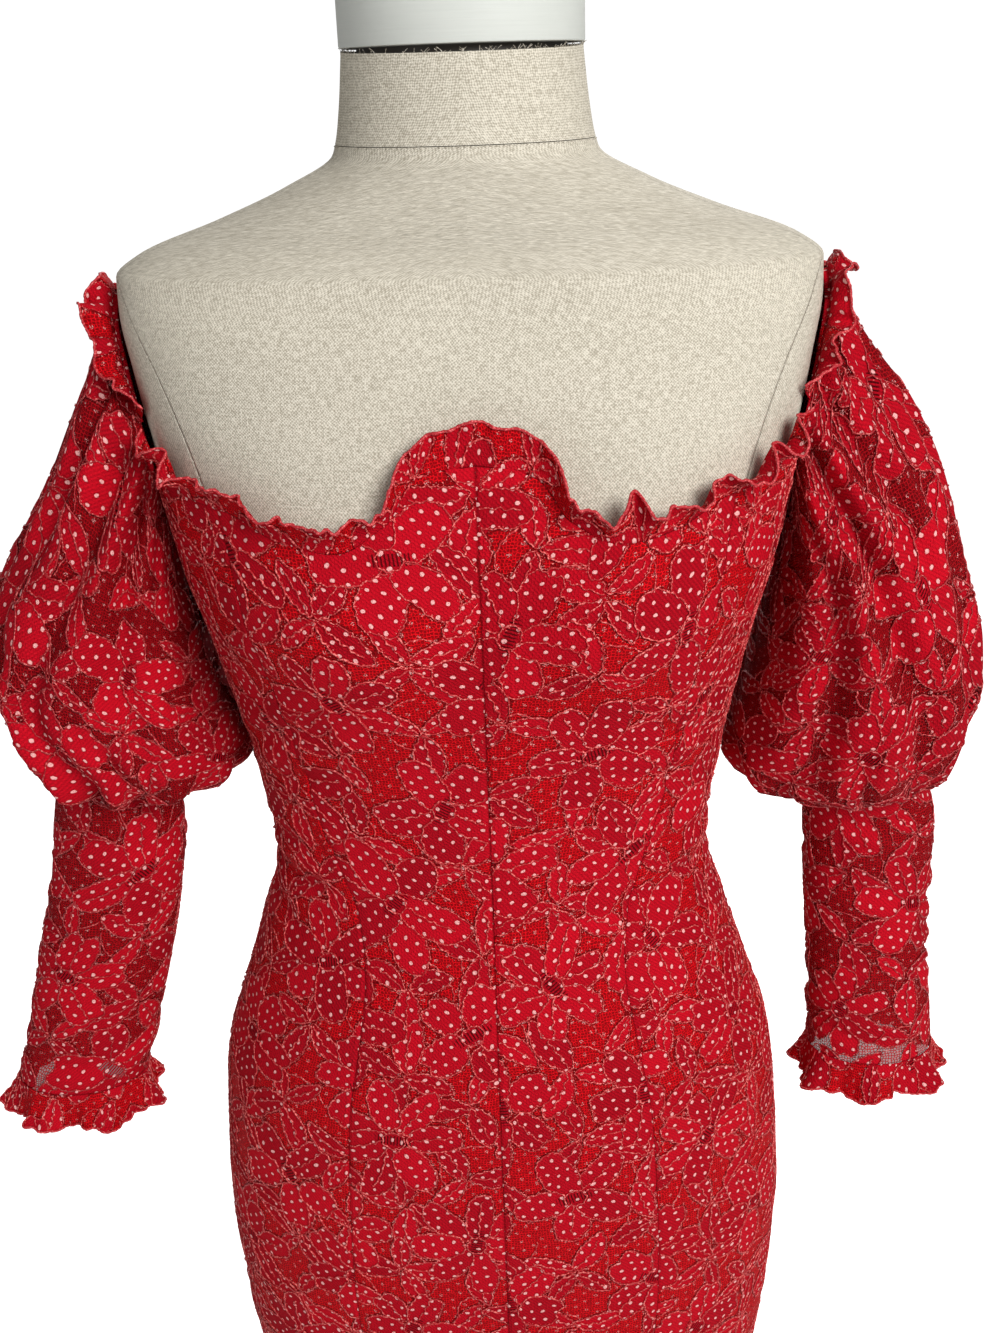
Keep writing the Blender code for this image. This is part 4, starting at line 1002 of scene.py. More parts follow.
def growing_tree(name, inputs):
    """A geometry node tree for things that follow a line."""
    geometry = ("Geometry", "Geometry")
    board, given, result = new_tree(
        name, "GeometryNodeTree", (geometry, *inputs, ("Material", "Material")), (geometry,))
    line = board.first("GeometryNodeMeshToCurve", {0: given["Geometry"]})
    return board, given, line, result


def in_a_row(board, line, pitch, thing, **changes):
    """Copies of a thing at even steps along a line, and the turn of each."""
    spread = board.node("GeometryNodeCurveToPoints", {"Curve": line, "Length": pitch}, mode="LENGTH")
    row = board.node("GeometryNodeInstanceOnPoints", {
        "Points": spread.outputs["Points"], "Instance": thing, **changes})
    return row, spread.outputs["Rotation"]


def finished(board, shape, given, result):
    """Ends a tree: real copies, one material."""
    real = board.first("GeometryNodeRealizeInstances", {"Geometry": shape})
    board.join(result, {0: board.first("GeometryNodeSetMaterial", {
        "Geometry": real, "Material": given["Material"]})})
    return board.tree


def cord_tree():
    """A thin round cord along each line, a little thicker and thinner along its way."""
    board, given, line, result = growing_tree("corded_outline", (
        ("Radius", "Float"), ("Sides", "Int"), ("Unevenness", "Float"), ("Seed", "Int")))
    low, high = (board.sum(operation, 1.0, given["Unevenness"]) for operation in ("SUBTRACT", "ADD"))
    vary = board.node("FunctionNodeRandomValue", {2: low, 3: high, "Seed": given["Seed"]}).outputs[1]
    ring = board.first("GeometryNodeCurvePrimitiveCircle", {
        "Radius": given["Radius"], "Resolution": given["Sides"]})
    cord = board.first("GeometryNodeCurveToMesh", {
        "Curve": board.first("GeometryNodeSetCurveRadius", {"Curve": line, "Radius": vary}),
        "Profile Curve": ring, "Scale": vary, "Fill Caps": True})
    return finished(board, board.first("GeometryNodeSetShadeSmooth", {0: cord}), given, result)


def stitch_tree():
    """Short stitches along each line, lying along it or turned across it."""
    board, given, line, result = growing_tree("stitch_row", (
        ("Pitch", "Float"), ("Radius", "Float"), ("Length", "Float"), ("Turn", "Float"), ("Seed", "Int")))
    vary = board.node("FunctionNodeRandomValue", {2: 0.85, 3: 1.15, "Seed": given["Seed"]}).outputs[1]
    shape = board.first("ShaderNodeCombineXYZ", {
        0: given["Radius"], 1: given["Radius"], 2: board.times(given["Length"], 0.5)})
    stitch = board.first("GeometryNodeMeshIcoSphere", {"Subdivisions": 1, "Radius": 1.0})
    row, way = in_a_row(board, line, given["Pitch"], stitch, Scale=board.vector("SCALE", shape, scale=vary))
    across = board.first("FunctionNodeAxisAngleToRotation", {"Axis": (0, 1, 0), "Angle": given["Turn"]})
    board.join(row, {"Rotation": board.first("FunctionNodeRotateRotation", {
        "Rotation": way, "Rotate By": across}, rotation_space="LOCAL")})
    return finished(board, row.outputs["Instances"], given, result)


def coil_tree():
    """The turns of a zip's coil, one round loop of wire at each step along a line."""
    board, given, line, result = growing_tree("zip_coil", (
        ("Pitch", "Float"), ("Turn Radius", "Float"), ("Wire Radius", "Float")))
    loop, wire = (board.first("GeometryNodeCurvePrimitiveCircle", {
        "Radius": given[label], "Resolution": sides})
        for label, sides in (("Turn Radius", 7), ("Wire Radius", 3)))
    swept = board.first("GeometryNodeCurveToMesh", {"Curve": loop, "Profile Curve": wire})
    turn = board.first("GeometryNodeSetShadeSmooth", {0: swept})
    row, way = in_a_row(board, line, given["Pitch"], turn)
    board.join(row, {"Rotation": way})
    return finished(board, row.outputs["Instances"], given, result)


# Meshes

def new_object(name, mesh, material, body="dress_form"):
    """A mesh in the scene, riding with its body."""
    thing = bpy.data.objects.new(name, mesh)
    bpy.context.scene.collection.objects.link(thing)
    if material:
        mesh.materials.clear()
        mesh.materials.append(material)
    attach(thing, body)
    return thing


def surface_mesh(name, places, flat, marks, closed, flipped):
    """A cloth mesh through a grid of points. A closed grid's last column is its first again."""
    rows, columns = places.shape[:2]
    kept = columns - 1 if closed else columns
    index = np.arange(rows * kept).reshape(rows, kept)
    if closed:
        index = np.concatenate([index, index[:, :1]], axis=1)
    sample = np.arange(rows * columns).reshape(rows, columns)

    def corners(table):
        four = [table[:-1, :-1], table[:-1, 1:], table[1:, 1:], table[1:, :-1]]
        if flipped:
            four.reverse()
        return np.stack(four, axis=-1).reshape(-1, 4)

    mesh = bpy.data.meshes.new(name)
    mesh.from_pydata(places[:, :kept].reshape(-1, 3).tolist(), [], corners(index).tolist())
    picked = corners(sample).ravel()
    layer = mesh.uv_layers.new(name="flat_cut")
    layer.data.foreach_set("uv", flat.reshape(-1, 2)[picked].astype(np.float32).ravel())
    for mark, values in marks.items():
        flat_values = values.reshape(rows * columns, -1)[picked].astype(np.float32)
        kind, field = (("FLOAT", "value"), ("FLOAT_VECTOR", "vector"))[flat_values.shape[1] == 3]
        attribute = mesh.attributes.new(mark, kind, "CORNER")
        attribute.data.foreach_set(field, flat_values.ravel())
    mesh.shade_smooth()
    mesh.update()
    return mesh


def lines_mesh(name, runs):
    """Loose lines of edges, for threads that follow them."""
    points = np.concatenate(runs)
    edges, first = [], 0
    for run in runs:
        edges += [(first + i, first + i + 1) for i in range(len(run) - 1)]
        first += len(run)
    mesh = bpy.data.meshes.new(name)
    mesh.from_pydata(points.tolist(), edges, [])
    return mesh


def grown(name, tree, runs, values, material, body="dress_form"):
    """A piece that a tree grows along lines, as a plain mesh."""
    seed = bpy.data.objects.new(name + "_lines", lines_mesh(name + "_lines", runs))
    bpy.context.scene.collection.objects.link(seed)
    change = seed.modifiers.new("grow", "NODES")
    change.node_group = tree
    sockets = {item.name: item.identifier for item in tree.interface.items_tree
               if item.item_type == "SOCKET" and item.in_out == "INPUT"}
    for label, value in {**values, "Material": material}.items():
        change[sockets[label]] = value
    bpy.context.view_layer.update()
    ready = seed.evaluated_get(bpy.context.evaluated_depsgraph_get())
    mesh = bpy.data.meshes.new_from_object(ready)
    mesh.name = name
    bpy.data.objects.remove(seed)
    return new_object(name, mesh, material, body)


# Finishes

def dot_pattern(board, flat_mm):
    """How far each place is from the middle of its nearest dot, in mm."""
    drift = board.vector("SUBTRACT", board.noise(flat_mm, 0.045, 1.0, colour=True), (0.5, 0.5, 0.5))
    where = board.vector("ADD", flat_mm, board.vector("SCALE", drift, scale=9.0))
    turned = board.first("ShaderNodeVectorRotate", {"Vector": where, "Angle": 0.32}, rotation_type="Z_AXIS")
    apart = board.parts(turned)
    nearest = None
    half, tall = DOT_STEP / 2, DOT_STEP * math.sqrt(3) / 2
    for shift_x, shift_y in ((0.0, 0.0), (half, tall)):
        x = board.sum("WRAP", board.plus(apart[0], shift_x), half, -half)
        y = board.sum("WRAP", board.plus(apart[1], shift_y), tall, -tall)
        away = board.vector("LENGTH", board.first("ShaderNodeCombineXYZ", {0: x, 1: y}))
        nearest = away if nearest is None else board.sum("MINIMUM", nearest, away)
    return nearest


DOT_STEP = 7.7            # mm between dots
NET_RED = (0.74, 0.004, 0.010, 1)
NET_SHADE = (0.20, 0.001, 0.003, 1)
# The next colour is painted shade: the dim inside of a sleeve seen through net with no backing
NET_OPEN_SHADE = (0.16, 0.003, 0.006, 1)
MOTIF_DARK = (0.28, 0.002, 0.008, 1)
MOTIF_LIGHT = (0.58, 0.004, 0.015, 1)
DOT_WHITE = (0.86, 0.42, 0.40, 1)
# The next colour is for the picots beside the motifs' edges, partly painted glints of light on them
PICOT_GLINT_PINK = (0.80, 0.22, 0.20, 1)
SHADOW_RED = (0.10, 0.001, 0.002, 1)      # beside a motif and along a seam
# The next colour is painted shade inside the open slits of a flower's middle
SLIT_SHADE_RED = (0.045, 0.001, 0.002, 1)       # between the bars of a flower's middle
# The next colour is painted shadow in a ring round each raised printed dot
DOT_SHADOW_RED = (0.16, 0.002, 0.005, 1)        # round a dot


def lace_group():
    """Net, close-woven motifs and printed dots of the lace."""
    board, given, result = new_tree(
        "dotted_lace", "ShaderNodeTree",
        (("Flat", "Vector"), ("Motif", "Float"), ("Tone", "Float"), ("Middle", "Vector"),
         ("Seam", "Float"), ("Open Net", "Float")),
        (("Color", "Color"), ("Alpha", "Float"), ("Height", "Float"), ("Roughness", "Float")))
    flat_mm = board.vector("SCALE", given["Flat"], scale=1000.0)
    wobble = board.times(board.less(board.noise(flat_mm, 0.55, 2.0), 0.5), 0.9)
    motif = board.step(board.plus(given["Motif"], wobble), -0.22, 0.22)

    cells = board.node("ShaderNodeTexVoronoi", {"Vector": flat_mm, "Scale": 0.56, "Randomness": 0.6},
                       voronoi_dimensions="2D", feature="DISTANCE_TO_EDGE").outputs["Distance"]
    thread = board.step(cells, 0.24, 0.06)
    squeezed = board.vector("MULTIPLY", flat_mm, (0.30, 1.25, 1.0))
    crinkle = board.noise(squeezed, 0.85, 2.0)

    weave = board.node("ShaderNodeTexWave", {
        "Vector": flat_mm, "Scale": 0.24, "Distortion": 1.2, "Detail": 1.0, "Detail Scale": 0.6},
        wave_type="BANDS", bands_direction="DIAGONAL").outputs["Fac"]

    ragged = board.times(board.less(board.noise(flat_mm, 1.1, 1.0), 0.5), 0.55)
    away = board.plus(dot_pattern(board, flat_mm), ragged)
    dot = board.step(away, 1.25, 0.90)
    broken = board.step(board.noise(flat_mm, 1.5, 1.0), 0.52, 0.60)
    printed = board.times(dot, board.sum("MAXIMUM", motif, board.times(broken, 0.85)))
    # Painted shadow in a ring round each printed dot, laid on the motifs only
    dot_shadow = board.times(board.step(away, 2.3, 1.3), 0.30)

    place = board.parts(given["Middle"])
    bars = board.step(board.size(board.sum("WRAP", place[0], 0.95, -0.95)), 0.50, 0.28)
    reach = board.step(board.size(place[1]), 3.6, 2.9)
    slits = board.times(board.times(bars, reach), place[2])

    hollow = board.times(board.less(1.0, thread), 0.9)
    net = board.mix(hollow, NET_RED, NET_SHADE)
    net = board.mix(board.times(board.step(crinkle, 0.60, 0.34), 0.6), net, NET_SHADE)
    # Where the net is open, it is painted darker with the shade seen through it
    net = board.mix(board.sum("MULTIPLY", given["Open Net"], 1.6, clamp=True), net, NET_OPEN_SHADE)
    tone = board.plus(board.times(given["Tone"], 0.60), board.times(weave, 0.42))
    woven = board.mix(tone, MOTIF_DARK, MOTIF_LIGHT)
    colour = board.mix(motif, net, woven)
    rim = board.step(board.size(board.plus(given["Motif"], 0.60)), 1.1, 0.3)
    colour = board.mix(board.times(rim, 0.72), colour, SHADOW_RED)
    # Pink specks beside the motifs' edges: picots of the lace, partly painted glints
    picot_glints = board.step(board.noise(flat_mm, 1.05, 0.0), 0.68, 0.74)
    beside = board.step(board.size(given["Motif"]), 2.2, 1.0)
    colour = board.mix(board.times(picot_glints, beside), colour, PICOT_GLINT_PINK)
    # Painted shade in the slits between the bars of a flower's middle
    colour = board.mix(board.times(slits, 0.85), colour, SLIT_SHADE_RED)
    colour = board.mix(board.times(dot_shadow, motif), colour, DOT_SHADOW_RED)
    # Painted shadow along each seam's groove, where the bump also sinks the cloth
    sewn = board.step(given["Seam"], 1.3, 0.25)
    colour = board.mix(board.times(sewn, 0.7), colour, SHADOW_RED)
    colour = board.mix(printed, colour, DOT_WHITE)

    hole = board.times(board.less(1.0, thread), 0.86)
    hole = board.times(hole, board.less(1.0, board.sum("MAXIMUM", motif, printed)))
    hole = board.sum("MAXIMUM", hole, board.times(slits, 0.6))
    alpha = board.less(1.0, board.times(hole, given["Open Net"]))

    height = board.times(motif, 0.45)
    beside_seam = board.step(board.size(board.less(given["Seam"], 2.6)), 1.2, 0.2)
    for part, amount in ((printed, 0.16), (thread, 0.30), (crinkle, 0.30), (weave, 0.10), (slits, -0.35),
                         (sewn, -0.7), (beside_seam, 0.25)):
        height = board.plus(height, board.times(part, amount))
    rough = board.plus(0.70, board.times(motif, 0.14))
    board.join(result, {"Color": colour, "Alpha": alpha, "Height": height, "Roughness": rough})
    return board.tree


def material_board(name):
    """A new material, its Principled shader and its board."""
    material = bpy.data.materials.new(name)
    material.use_nodes = True
    return material, material.node_tree.nodes["Principled BSDF"], Board(material.node_tree)


def lace_material(name, group, open_net):
    """Lace, open to what is behind it by the share open_net, and its net painted darker there with the shade
    of the inside seen through it.
    """
    material, shader, board = material_board(name)
    lace = board.node("ShaderNodeGroup", {
        "Flat": board.first("ShaderNodeUVMap", uv_map="flat_cut"), "Motif": board.mark("motif"),
        "Tone": board.mark("tone"), "Middle": board.mark("middle", "Vector"),
        "Seam": board.mark("seam"), "Open Net": open_net}, node_tree=group).outputs
    board.join(shader, {
        "Base Color": lace["Color"], "Roughness": lace["Roughness"], "Specular IOR Level": 0.05,
        "Normal": board.bump(lace["Height"], 0.0010, 0.9)})
    if open_net:
        within = board.node("ShaderNodeNewGeometry").outputs["Backfacing"]
        board.join(shader, {"Alpha": board.sum("MAXIMUM", lace["Alpha"], within)})
    return material


def thread_material(name, dark, light, scale, pale=0.5, roughness=0.6):
    """Twisted thread, lighter and darker along its way, with about the share pale light; on the lace's cords
    and rolled edges these pale specks are painted glints on the twisted thread.
    """
    material, shader, board = material_board(name)
    share = board.step(board.noise(board.here(), scale, 1.0), 0.60 - pale * 0.22, 0.72 - pale * 0.16)
    board.join(shader, {"Base Color": board.mix(share, dark, light), "Roughness": roughness})
    return material


LINEN_PITCH = 1.7         # mm between two crossings that look alike
LINEN_DARK, LINEN_LIGHT = (0.385, 0.345, 0.27, 1), (0.69, 0.64, 0.535, 1)
LINEN_SEAM = (0.13, 0.10, 0.07, 1)


def linen_group():
    """Plain weave with slubs, by the cloth's own length and breadth."""
    board, given, result = new_tree("slubby_linen", "ShaderNodeTree", (("Flat", "Vector"),),
                                    (("Tone", "Float"), ("Height", "Float")))
    flat_mm = board.vector("SCALE", given["Flat"], scale=1000.0)
    across, along = (board.noise(board.vector("MULTIPLY", flat_mm, squeeze), 1.0)
                     for squeeze in ((0.95, 0.24, 1), (0.24, 0.95, 1)))
    drift = board.vector("SCALE", board.noise(flat_mm, 0.30, 1.0, colour=True), scale=1.6)
    place = board.parts(board.vector("ADD", flat_mm, drift))
    over, under = (board.sum("SINE", board.times(place[k], math.tau / LINEN_PITCH))
                   for k in (0, 1))
    crossing = board.times(over, under)
    slub_a, slub_b = (
        board.step(board.noise(board.vector("MULTIPLY", flat_mm, squeeze), 0.8, 0.0), 0.66, 0.80)
        for squeeze in ((0.9, 0.05, 1), (0.05, 0.9, 1)))
    cloudy = board.noise(flat_mm, 0.02, 3.0)
    fleck = board.step(board.noise(flat_mm, 0.55, 0.0), 0.80, 0.86)
    threads = board.plus(across, along)
    slubs = board.plus(slub_a, slub_b)
    tone = board.sum("MULTIPLY_ADD", board.less(threads, 1.0), 1.9, 0.5)
    for part, amount in ((slubs, 0.20), (crossing, 0.65), (board.less(cloudy, 0.5), 0.35),
                         (fleck, -0.45)):
        tone = board.plus(tone, board.times(part, amount))
    height = board.plus(board.times(threads, 0.20), board.times(slubs, 0.10))
    height = board.plus(height, board.times(crossing, 0.10))
    board.join(result, {"Tone": tone, "Height": height})
    return board.tree


def linen_material(name, group, turn):
    """Linen with its threads turned by so many radians, darker along a seam."""
    material, shader, board = material_board(name)
    flat = board.first("ShaderNodeUVMap", uv_map="flat_cut")
    turned = board.first("ShaderNodeVectorRotate", {"Vector": flat, "Angle": turn}, rotation_type="Z_AXIS")
    linen = board.node("ShaderNodeGroup", {"Flat": turned}, node_tree=group).outputs
    from_seam = board.size(board.mark("seam"))
    colour = board.mix(board.sum("ADD", linen["Tone"], 0.0, clamp=True),
                       LINEN_DARK, LINEN_LIGHT)
    line = board.times(board.step(from_seam, 0.9, 0.25), 0.62)
    sunk = board.times(board.step(from_seam, 1.8, 0.2), 0.7)
    board.join(shader, {
        "Base Color": board.mix(line, colour, LINEN_SEAM), "Roughness": 0.92,
        "Specular IOR Level": 0.2,
        "Normal": board.bump(board.less(linen["Height"], sunk), 0.0010, 0.8)})
    return material


def painted_material():
    """Matt off-white paint over wood, brushed round, with painted shade on the plug below the cap."""
    material, shader, board = material_board("painted_cap")
    where = board.here()
    brushed = board.noise(board.vector("MULTIPLY", where, (30, 30, 900)), 1.0, 2.0)
    share = board.plus(board.times(brushed, 0.4), board.times(board.noise(where, 22.0, 3.0), 0.6))
    # Painted shade on the plug below the cap's foot, in the groove above the linen neck
    under = board.step(board.parts(where)[2], CAP_BOTTOM_Z + 0.0004, CAP_BOTTOM_Z - 0.0004)
    paint = board.mix(share, (0.53, 0.55, 0.51, 1), (0.65, 0.665, 0.62, 1))
    board.join(shader, {"Base Color": board.mix(under, paint, (0.05, 0.04, 0.03, 1)),
                        "Normal": board.bump(brushed, 0.0003, 0.3), "Roughness": 0.48})
    return material


def metal_material(name, dark, light, stretch, roughness, metallic):
    """Metal with a fine drawn grain."""
    material, shader, board = material_board(name)
    grain = board.noise(board.vector("MULTIPLY", board.here(), stretch), 1.0, 3.0)
    board.join(shader, {"Base Color": board.mix(grain, dark, light), "Metallic": metallic,
                        "Roughness": board.sum("MULTIPLY_ADD", grain, 0.18, roughness - 0.09)})
    return material


# The form, its stand and the zip

def turned_piece(name, profile, sides, material, slot, *stands_for):
    """A piece turned about the upright axis from (radius, z) points, closed at both ends."""
    work = bmesh.new()
    rings = []
    for radius, z in profile:
        rings.append([work.verts.new((radius * math.sin(math.tau * i / sides),
                                      -radius * math.cos(math.tau * i / sides), z))
                      for i in range(sides)])
    for low, high in zip(rings, rings[1:]):
        for i in range(sides):
            k = (i + 1) % sides
            work.faces.new((low[i], low[k], high[k], high[i]))
    work.faces.new(rings[0][::-1])
    work.faces.new(rings[-1])
    bmesh.ops.recalc_face_normals(work, faces=work.faces)
    mesh = bpy.data.meshes.new(name)
    work.to_mesh(mesh)
    work.free()
    mesh.shade_smooth()
    mesh.set_sharp_from_angle(angle=math.radians(35))
    piece = new_object(name, mesh, material)
    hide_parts(*stands_for)
    return piece


# Seam between the form's chest and its arm plate, front and back
# (z, degrees from the front, wearer's left)
PLATE_SEAM = ((1.296, 77), (1.285, 69), (1.262, 60), (1.232, 53), (1.205, 49), (1.180, 47))


def closed_form(name, levels, material, seam, *stands_for, rise=0.0):
    """A stretch of the dress form between levels, closed at its ends. Its top may rise away from
    the front."""
    degrees = np.linspace(0, 360, 241)
    z, turn = np.meshgrid(levels, degrees, indexing="ij")
    share = (z - levels[0]) / (levels[-1] - levels[0])
    z = z + rise * share ** 2 * (1 - np.maximum(0, np.cos(np.radians(turn))) ** 0.7)
    places = on_form(z, turn)
    across = travelled_across(places)
    across -= across[:, [len(degrees) // 2]]
    along = travelled(places[:, 0])
    flat = np.stack([across, np.broadcast_to(along[:, None], across.shape)], axis=-1)
    marks = {"seam": np.full(z.shape, NO_SEAM_NEAR)}
    if seam:
        away = np.abs(from_front(turn))
        table = tuple(reversed(seam))
        front = curve(table, z, 1)
        apart = np.where(away < 90, away - front, 180 - away - front - 2)
        marks["seam"] = np.where(z > table[0][0] - 0.02, apart * 2.9, NO_SEAM_NEAR)
    mesh = surface_mesh(name, places, flat, marks, closed=True, flipped=False)
    work = bmesh.new()
    work.from_mesh(mesh)
    bmesh.ops.holes_fill(work, edges=[e for e in work.edges if e.is_boundary], sides=0)
    bmesh.ops.recalc_face_normals(work, faces=work.faces)
    work.to_mesh(mesh)
    work.free()
    mesh.shade_smooth()
    mesh.set_sharp_from_angle(angle=math.radians(50))
    piece = new_object(name, mesh, material)
    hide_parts(*stands_for)
    return piece


def dress_form(linen, neck_linen, painted, threads):
    """The linen torso and neck, their seams and frayed edge, and the painted cap."""
    levels = np.concatenate([[FORM_BOTTOM_Z], np.linspace(FORM_BOTTOM_Z + 0.004, 1.24, 44),
                             np.linspace(1.2425, NECK_SEAM_Z - 0.0004, 62)])
    closed_form("linen_torso", levels, linen, PLATE_SEAM, "form_torso")
    closed_form("linen_neck", np.linspace(NECK_SEAM_Z, NECK_TOP_Z, 26), neck_linen, None, "form_neck",
                rise=NECK_RISE)
    turn = np.linspace(0, 360, 241)
    neck_seam = on_form(np.full(241, NECK_SEAM_Z - 0.0008), turn, 0.0001)
    plate_seams = []
    for side in (1, -1):
        z = np.linspace(PLATE_SEAM[-1][0] + 0.012, PLATE_SEAM[0][0], 60)
        front = curve(tuple(reversed(PLATE_SEAM)), z, 1)
        plate_seams += [on_form(z, side * front, 0.0001), on_form(z, side * (178 - front), 0.0001)]
    grown("neck_seam_stitches", threads.stitch_tree, [neck_seam],
          {"Pitch": 0.0030, "Radius": 0.00022, "Length": 0.0019, "Turn": 0.4, "Seed": 5},
          threads.linen)
    grown("plate_seam_stitches", threads.stitch_tree, plate_seams,
          {"Pitch": 0.0040, "Radius": 0.00022, "Length": 0.0021, "Turn": 0.9, "Seed": 6},
          threads.linen)
    rng = random.Random(7)
    frays = []
    for _ in range(170):
        at = rng.uniform(0, 360)
        top = NECK_TOP_Z - 0.001 + NECK_RISE * (1 - max(0, math.cos(math.radians(at))) ** 0.7)
        start = on_form(np.array([top]), np.array([at]), -0.0005)[0]
        out = outward(np.array([NECK_TOP_Z]), np.array([at]))[0]
        side = np.array([-out[1], out[0], 0])
        t = np.linspace(0, 1, 5)[:, None]
        frays.append(start + np.array([0, 0, 1]) * t * rng.uniform(0.0015, 0.0034)
                     + side * t ** 2 * rng.uniform(-0.003, 0.003)
                     + out * t ** 2 * rng.uniform(-0.0010, 0.0024))
    grown("frayed_neck_edge", threads.cord_tree, frays,
          {"Radius": 0.00016, "Sides": 3, "Unevenness": 0.3, "Seed": 8}, threads.linen)
    edge = 0.0012
    turned_piece("painted_neck_cap", (
        (CAP_PLUG_RADIUS, NECK_TOP_Z + SEAM_GAP), (CAP_PLUG_RADIUS, CAP_BOTTOM_Z),
        (CAP_RADIUS - edge, CAP_BOTTOM_Z), (CAP_RADIUS - 0.3 * edge, CAP_BOTTOM_Z + 0.3 * edge),
        (CAP_RADIUS, CAP_BOTTOM_Z + edge), (CAP_RADIUS, CAP_TOP_Z - 0.010),
        (CAP_RADIUS - 0.0006, CAP_TOP_Z - 0.0072), (CAP_RADIUS - 0.0022, CAP_TOP_Z - 0.0046),
        (CAP_RADIUS - 0.0052, CAP_TOP_Z - 0.0024), (CAP_RADIUS - 0.0100, CAP_TOP_Z - 0.0010),
        (CAP_RADIUS - 0.0250, CAP_TOP_Z), (0.006, CAP_TOP_Z),
    ), 144, painted, "cap", "form_cap")


def stand(steel):
    """The round base with its hub, and the pole."""
    turned_piece("steel_base", (
        (BASE_RADIUS - 0.002, 0.0), (BASE_RADIUS - 0.0006, 0.0006), (BASE_RADIUS, 0.002),
        (BASE_RADIUS, BASE_THICKNESS - 0.003), (BASE_RADIUS - 0.001, BASE_THICKNESS - 0.001),
        (BASE_RADIUS - 0.004, BASE_THICKNESS), (HUB_RADIUS + 0.008, BASE_THICKNESS),
        (HUB_RADIUS + 0.002, BASE_THICKNESS + 0.002), (HUB_RADIUS, BASE_THICKNESS + 0.007),
        (HUB_RADIUS - 0.004, HUB_TOP_Z - 0.002), (HUB_RADIUS - 0.0046, HUB_TOP_Z - 0.0006),
        (HUB_RADIUS - 0.006, HUB_TOP_Z),
    ), 144, steel, "steel", "stand_base")
    turned_piece("steel_pole", (
        (POLE_RADIUS, HUB_TOP_Z + SEAM_GAP), (POLE_RADIUS, FORM_BOTTOM_Z - SEAM_GAP),
    ), 64, steel, "steel", "stand_pole")


# The dress

PANELS = (
    ("front_centre_left", 0, 30), ("front_side_left", 30, 90),
    ("back_side_left", 90, 150), ("back_centre_left", 150, 180),
    ("front_centre_right", -30, 0), ("front_side_right", -90, -30),
    ("back_side_right", -150, -90), ("back_centre_right", -180, -150),
)


def mesh_area(mesh):
    return sum(face.area for face in mesh.polygons)


def lace_piece(cut, material, threads, seed, step=CORD_STEP, rolled=False):
    """One cut piece of lace, the cords sewn on it and the thread round its free edge."""
    columns, rows = cut.mesh_grid()
    places = cut.place(columns, rows)
    u, v = cut.to_flat(columns, rows)
    motifs, tendrils = lace_layout(cut.width, cut.length, seed)
    depth, tone, middle = lace_marks(motifs, u, v)
    marks = {"motif": depth, "tone": tone, "middle": middle, "seam": cut.seam_distance(columns, rows)}
    mesh = surface_mesh("lace_" + cut.name, places, np.stack([u, v], axis=-1), marks,
                        getattr(cut, "closed", False), cut.facing < 0)
    piece = new_object("lace_" + cut.name, mesh, material)
    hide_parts(cut.name)
    runs = cord_lines(cut, motifs, tendrils, step, seed)
    sewn_on = [grown("cords_" + cut.name, threads.cord_tree, runs,
                     {"Radius": CORD_RADIUS, "Sides": 3, "Unevenness": 0.38, "Seed": seed},
                     threads.sleeve_cord if "sleeve" in cut.name else threads.cord)]
    if rolled:
        edge = even_steps(cut.places[-1], 0.0011)
        sewn_on.append(grown("rolled_edge_" + cut.name, threads.cord_tree, [edge],
                             {"Radius": EDGE_RADIUS, "Sides": 5, "Unevenness": 0.30, "Seed": seed},
                             threads.edge))
    elif isinstance(cut, PanelCut):
        at = np.linspace(cut.start + 0.4, cut.end - 0.4, 60)
        level = np.full(len(at), HEM_Z + HEM_DEPTH)
        line = cut.place(at, level) + cut.normal(at, level) * 0.0001
        sewn_on.append(grown("hem_stitches_" + cut.name, threads.stitch_tree, [line],
                             {"Pitch": 0.0046, "Radius": 0.0003, "Length": 0.0026, "Turn": 0.0,
                              "Seed": seed}, threads.edge))
    area = mesh_area(mesh)
    cut_area = cut.width * cut.length
    if isinstance(cut, PanelCut):
        cut_area = min(cut_area, max(area, LEAST_CUT_SHARE * cut_area))
    return piece


def dress(threads, body_lace, puff_lace, sleeve_lace, frill_lace):
    """All the dress's cut pieces, from the panels on the form out to the frills."""
    for number, (name, start, end) in enumerate(PANELS):
        step = CORD_STEP if name.startswith("front") else BACK_CORD_STEP
        lace_piece(PanelCut(name, start, end), body_lace, threads, 100 + number,
                   step)
    for side, word in ((1, "left"), (-1, "right")):
        seed = 200 + side
        lace_piece(puff_cut(word, side), puff_lace, threads, seed,
                   step=0.0021)
        lace_piece(lower_sleeve_cut(word, side), sleeve_lace, threads, seed + 10,
                   step=0.0021)
        lace_piece(cuff_cut(word, side), frill_lace, threads, seed + 20,
                   rolled=True)
        lace_piece(shoulder_ruffle_cut(word, side, seed + 30), frill_lace, threads, seed + 30,
                   rolled=True)
    for number, (name, table, start, end, rests_on) in enumerate((
            ("neck_ruffle_front", RUFFLE_FRONT, -60, 60, "lace_front_centre_left"),
            ("neck_ruffle_back_left", RUFFLE_BACK, 120, 180, "lace_back_centre_left"),
            ("neck_ruffle_back_right", RUFFLE_BACK, 180, 240, "lace_back_centre_right"))):
        lace_piece(neck_ruffle_cut(name, table, start, end, 300 + number), frill_lace, threads,
                   300 + number, rolled=True)


def zip_coil(zip_nylon):
    """Two rows of interlocked turns, seen in the slit between the back panels."""
    z = np.arange(ZIP_BOTTOM_Z + 0.003, ZIP_TOP_Z - 0.002, 0.002)
    rows = []
    for side in (-1, 1):
        row = on_dress(z + side * COIL_PITCH / 4, np.full(len(z), 180.0), WALL)
        row[:, 0] += side * 0.00022
        rows.append(row)
    grown("zip_coil", coil_tree(), rows,
          {"Pitch": COIL_PITCH, "Turn Radius": 0.00034, "Wire Radius": 0.00012}, zip_nylon)


# Studio

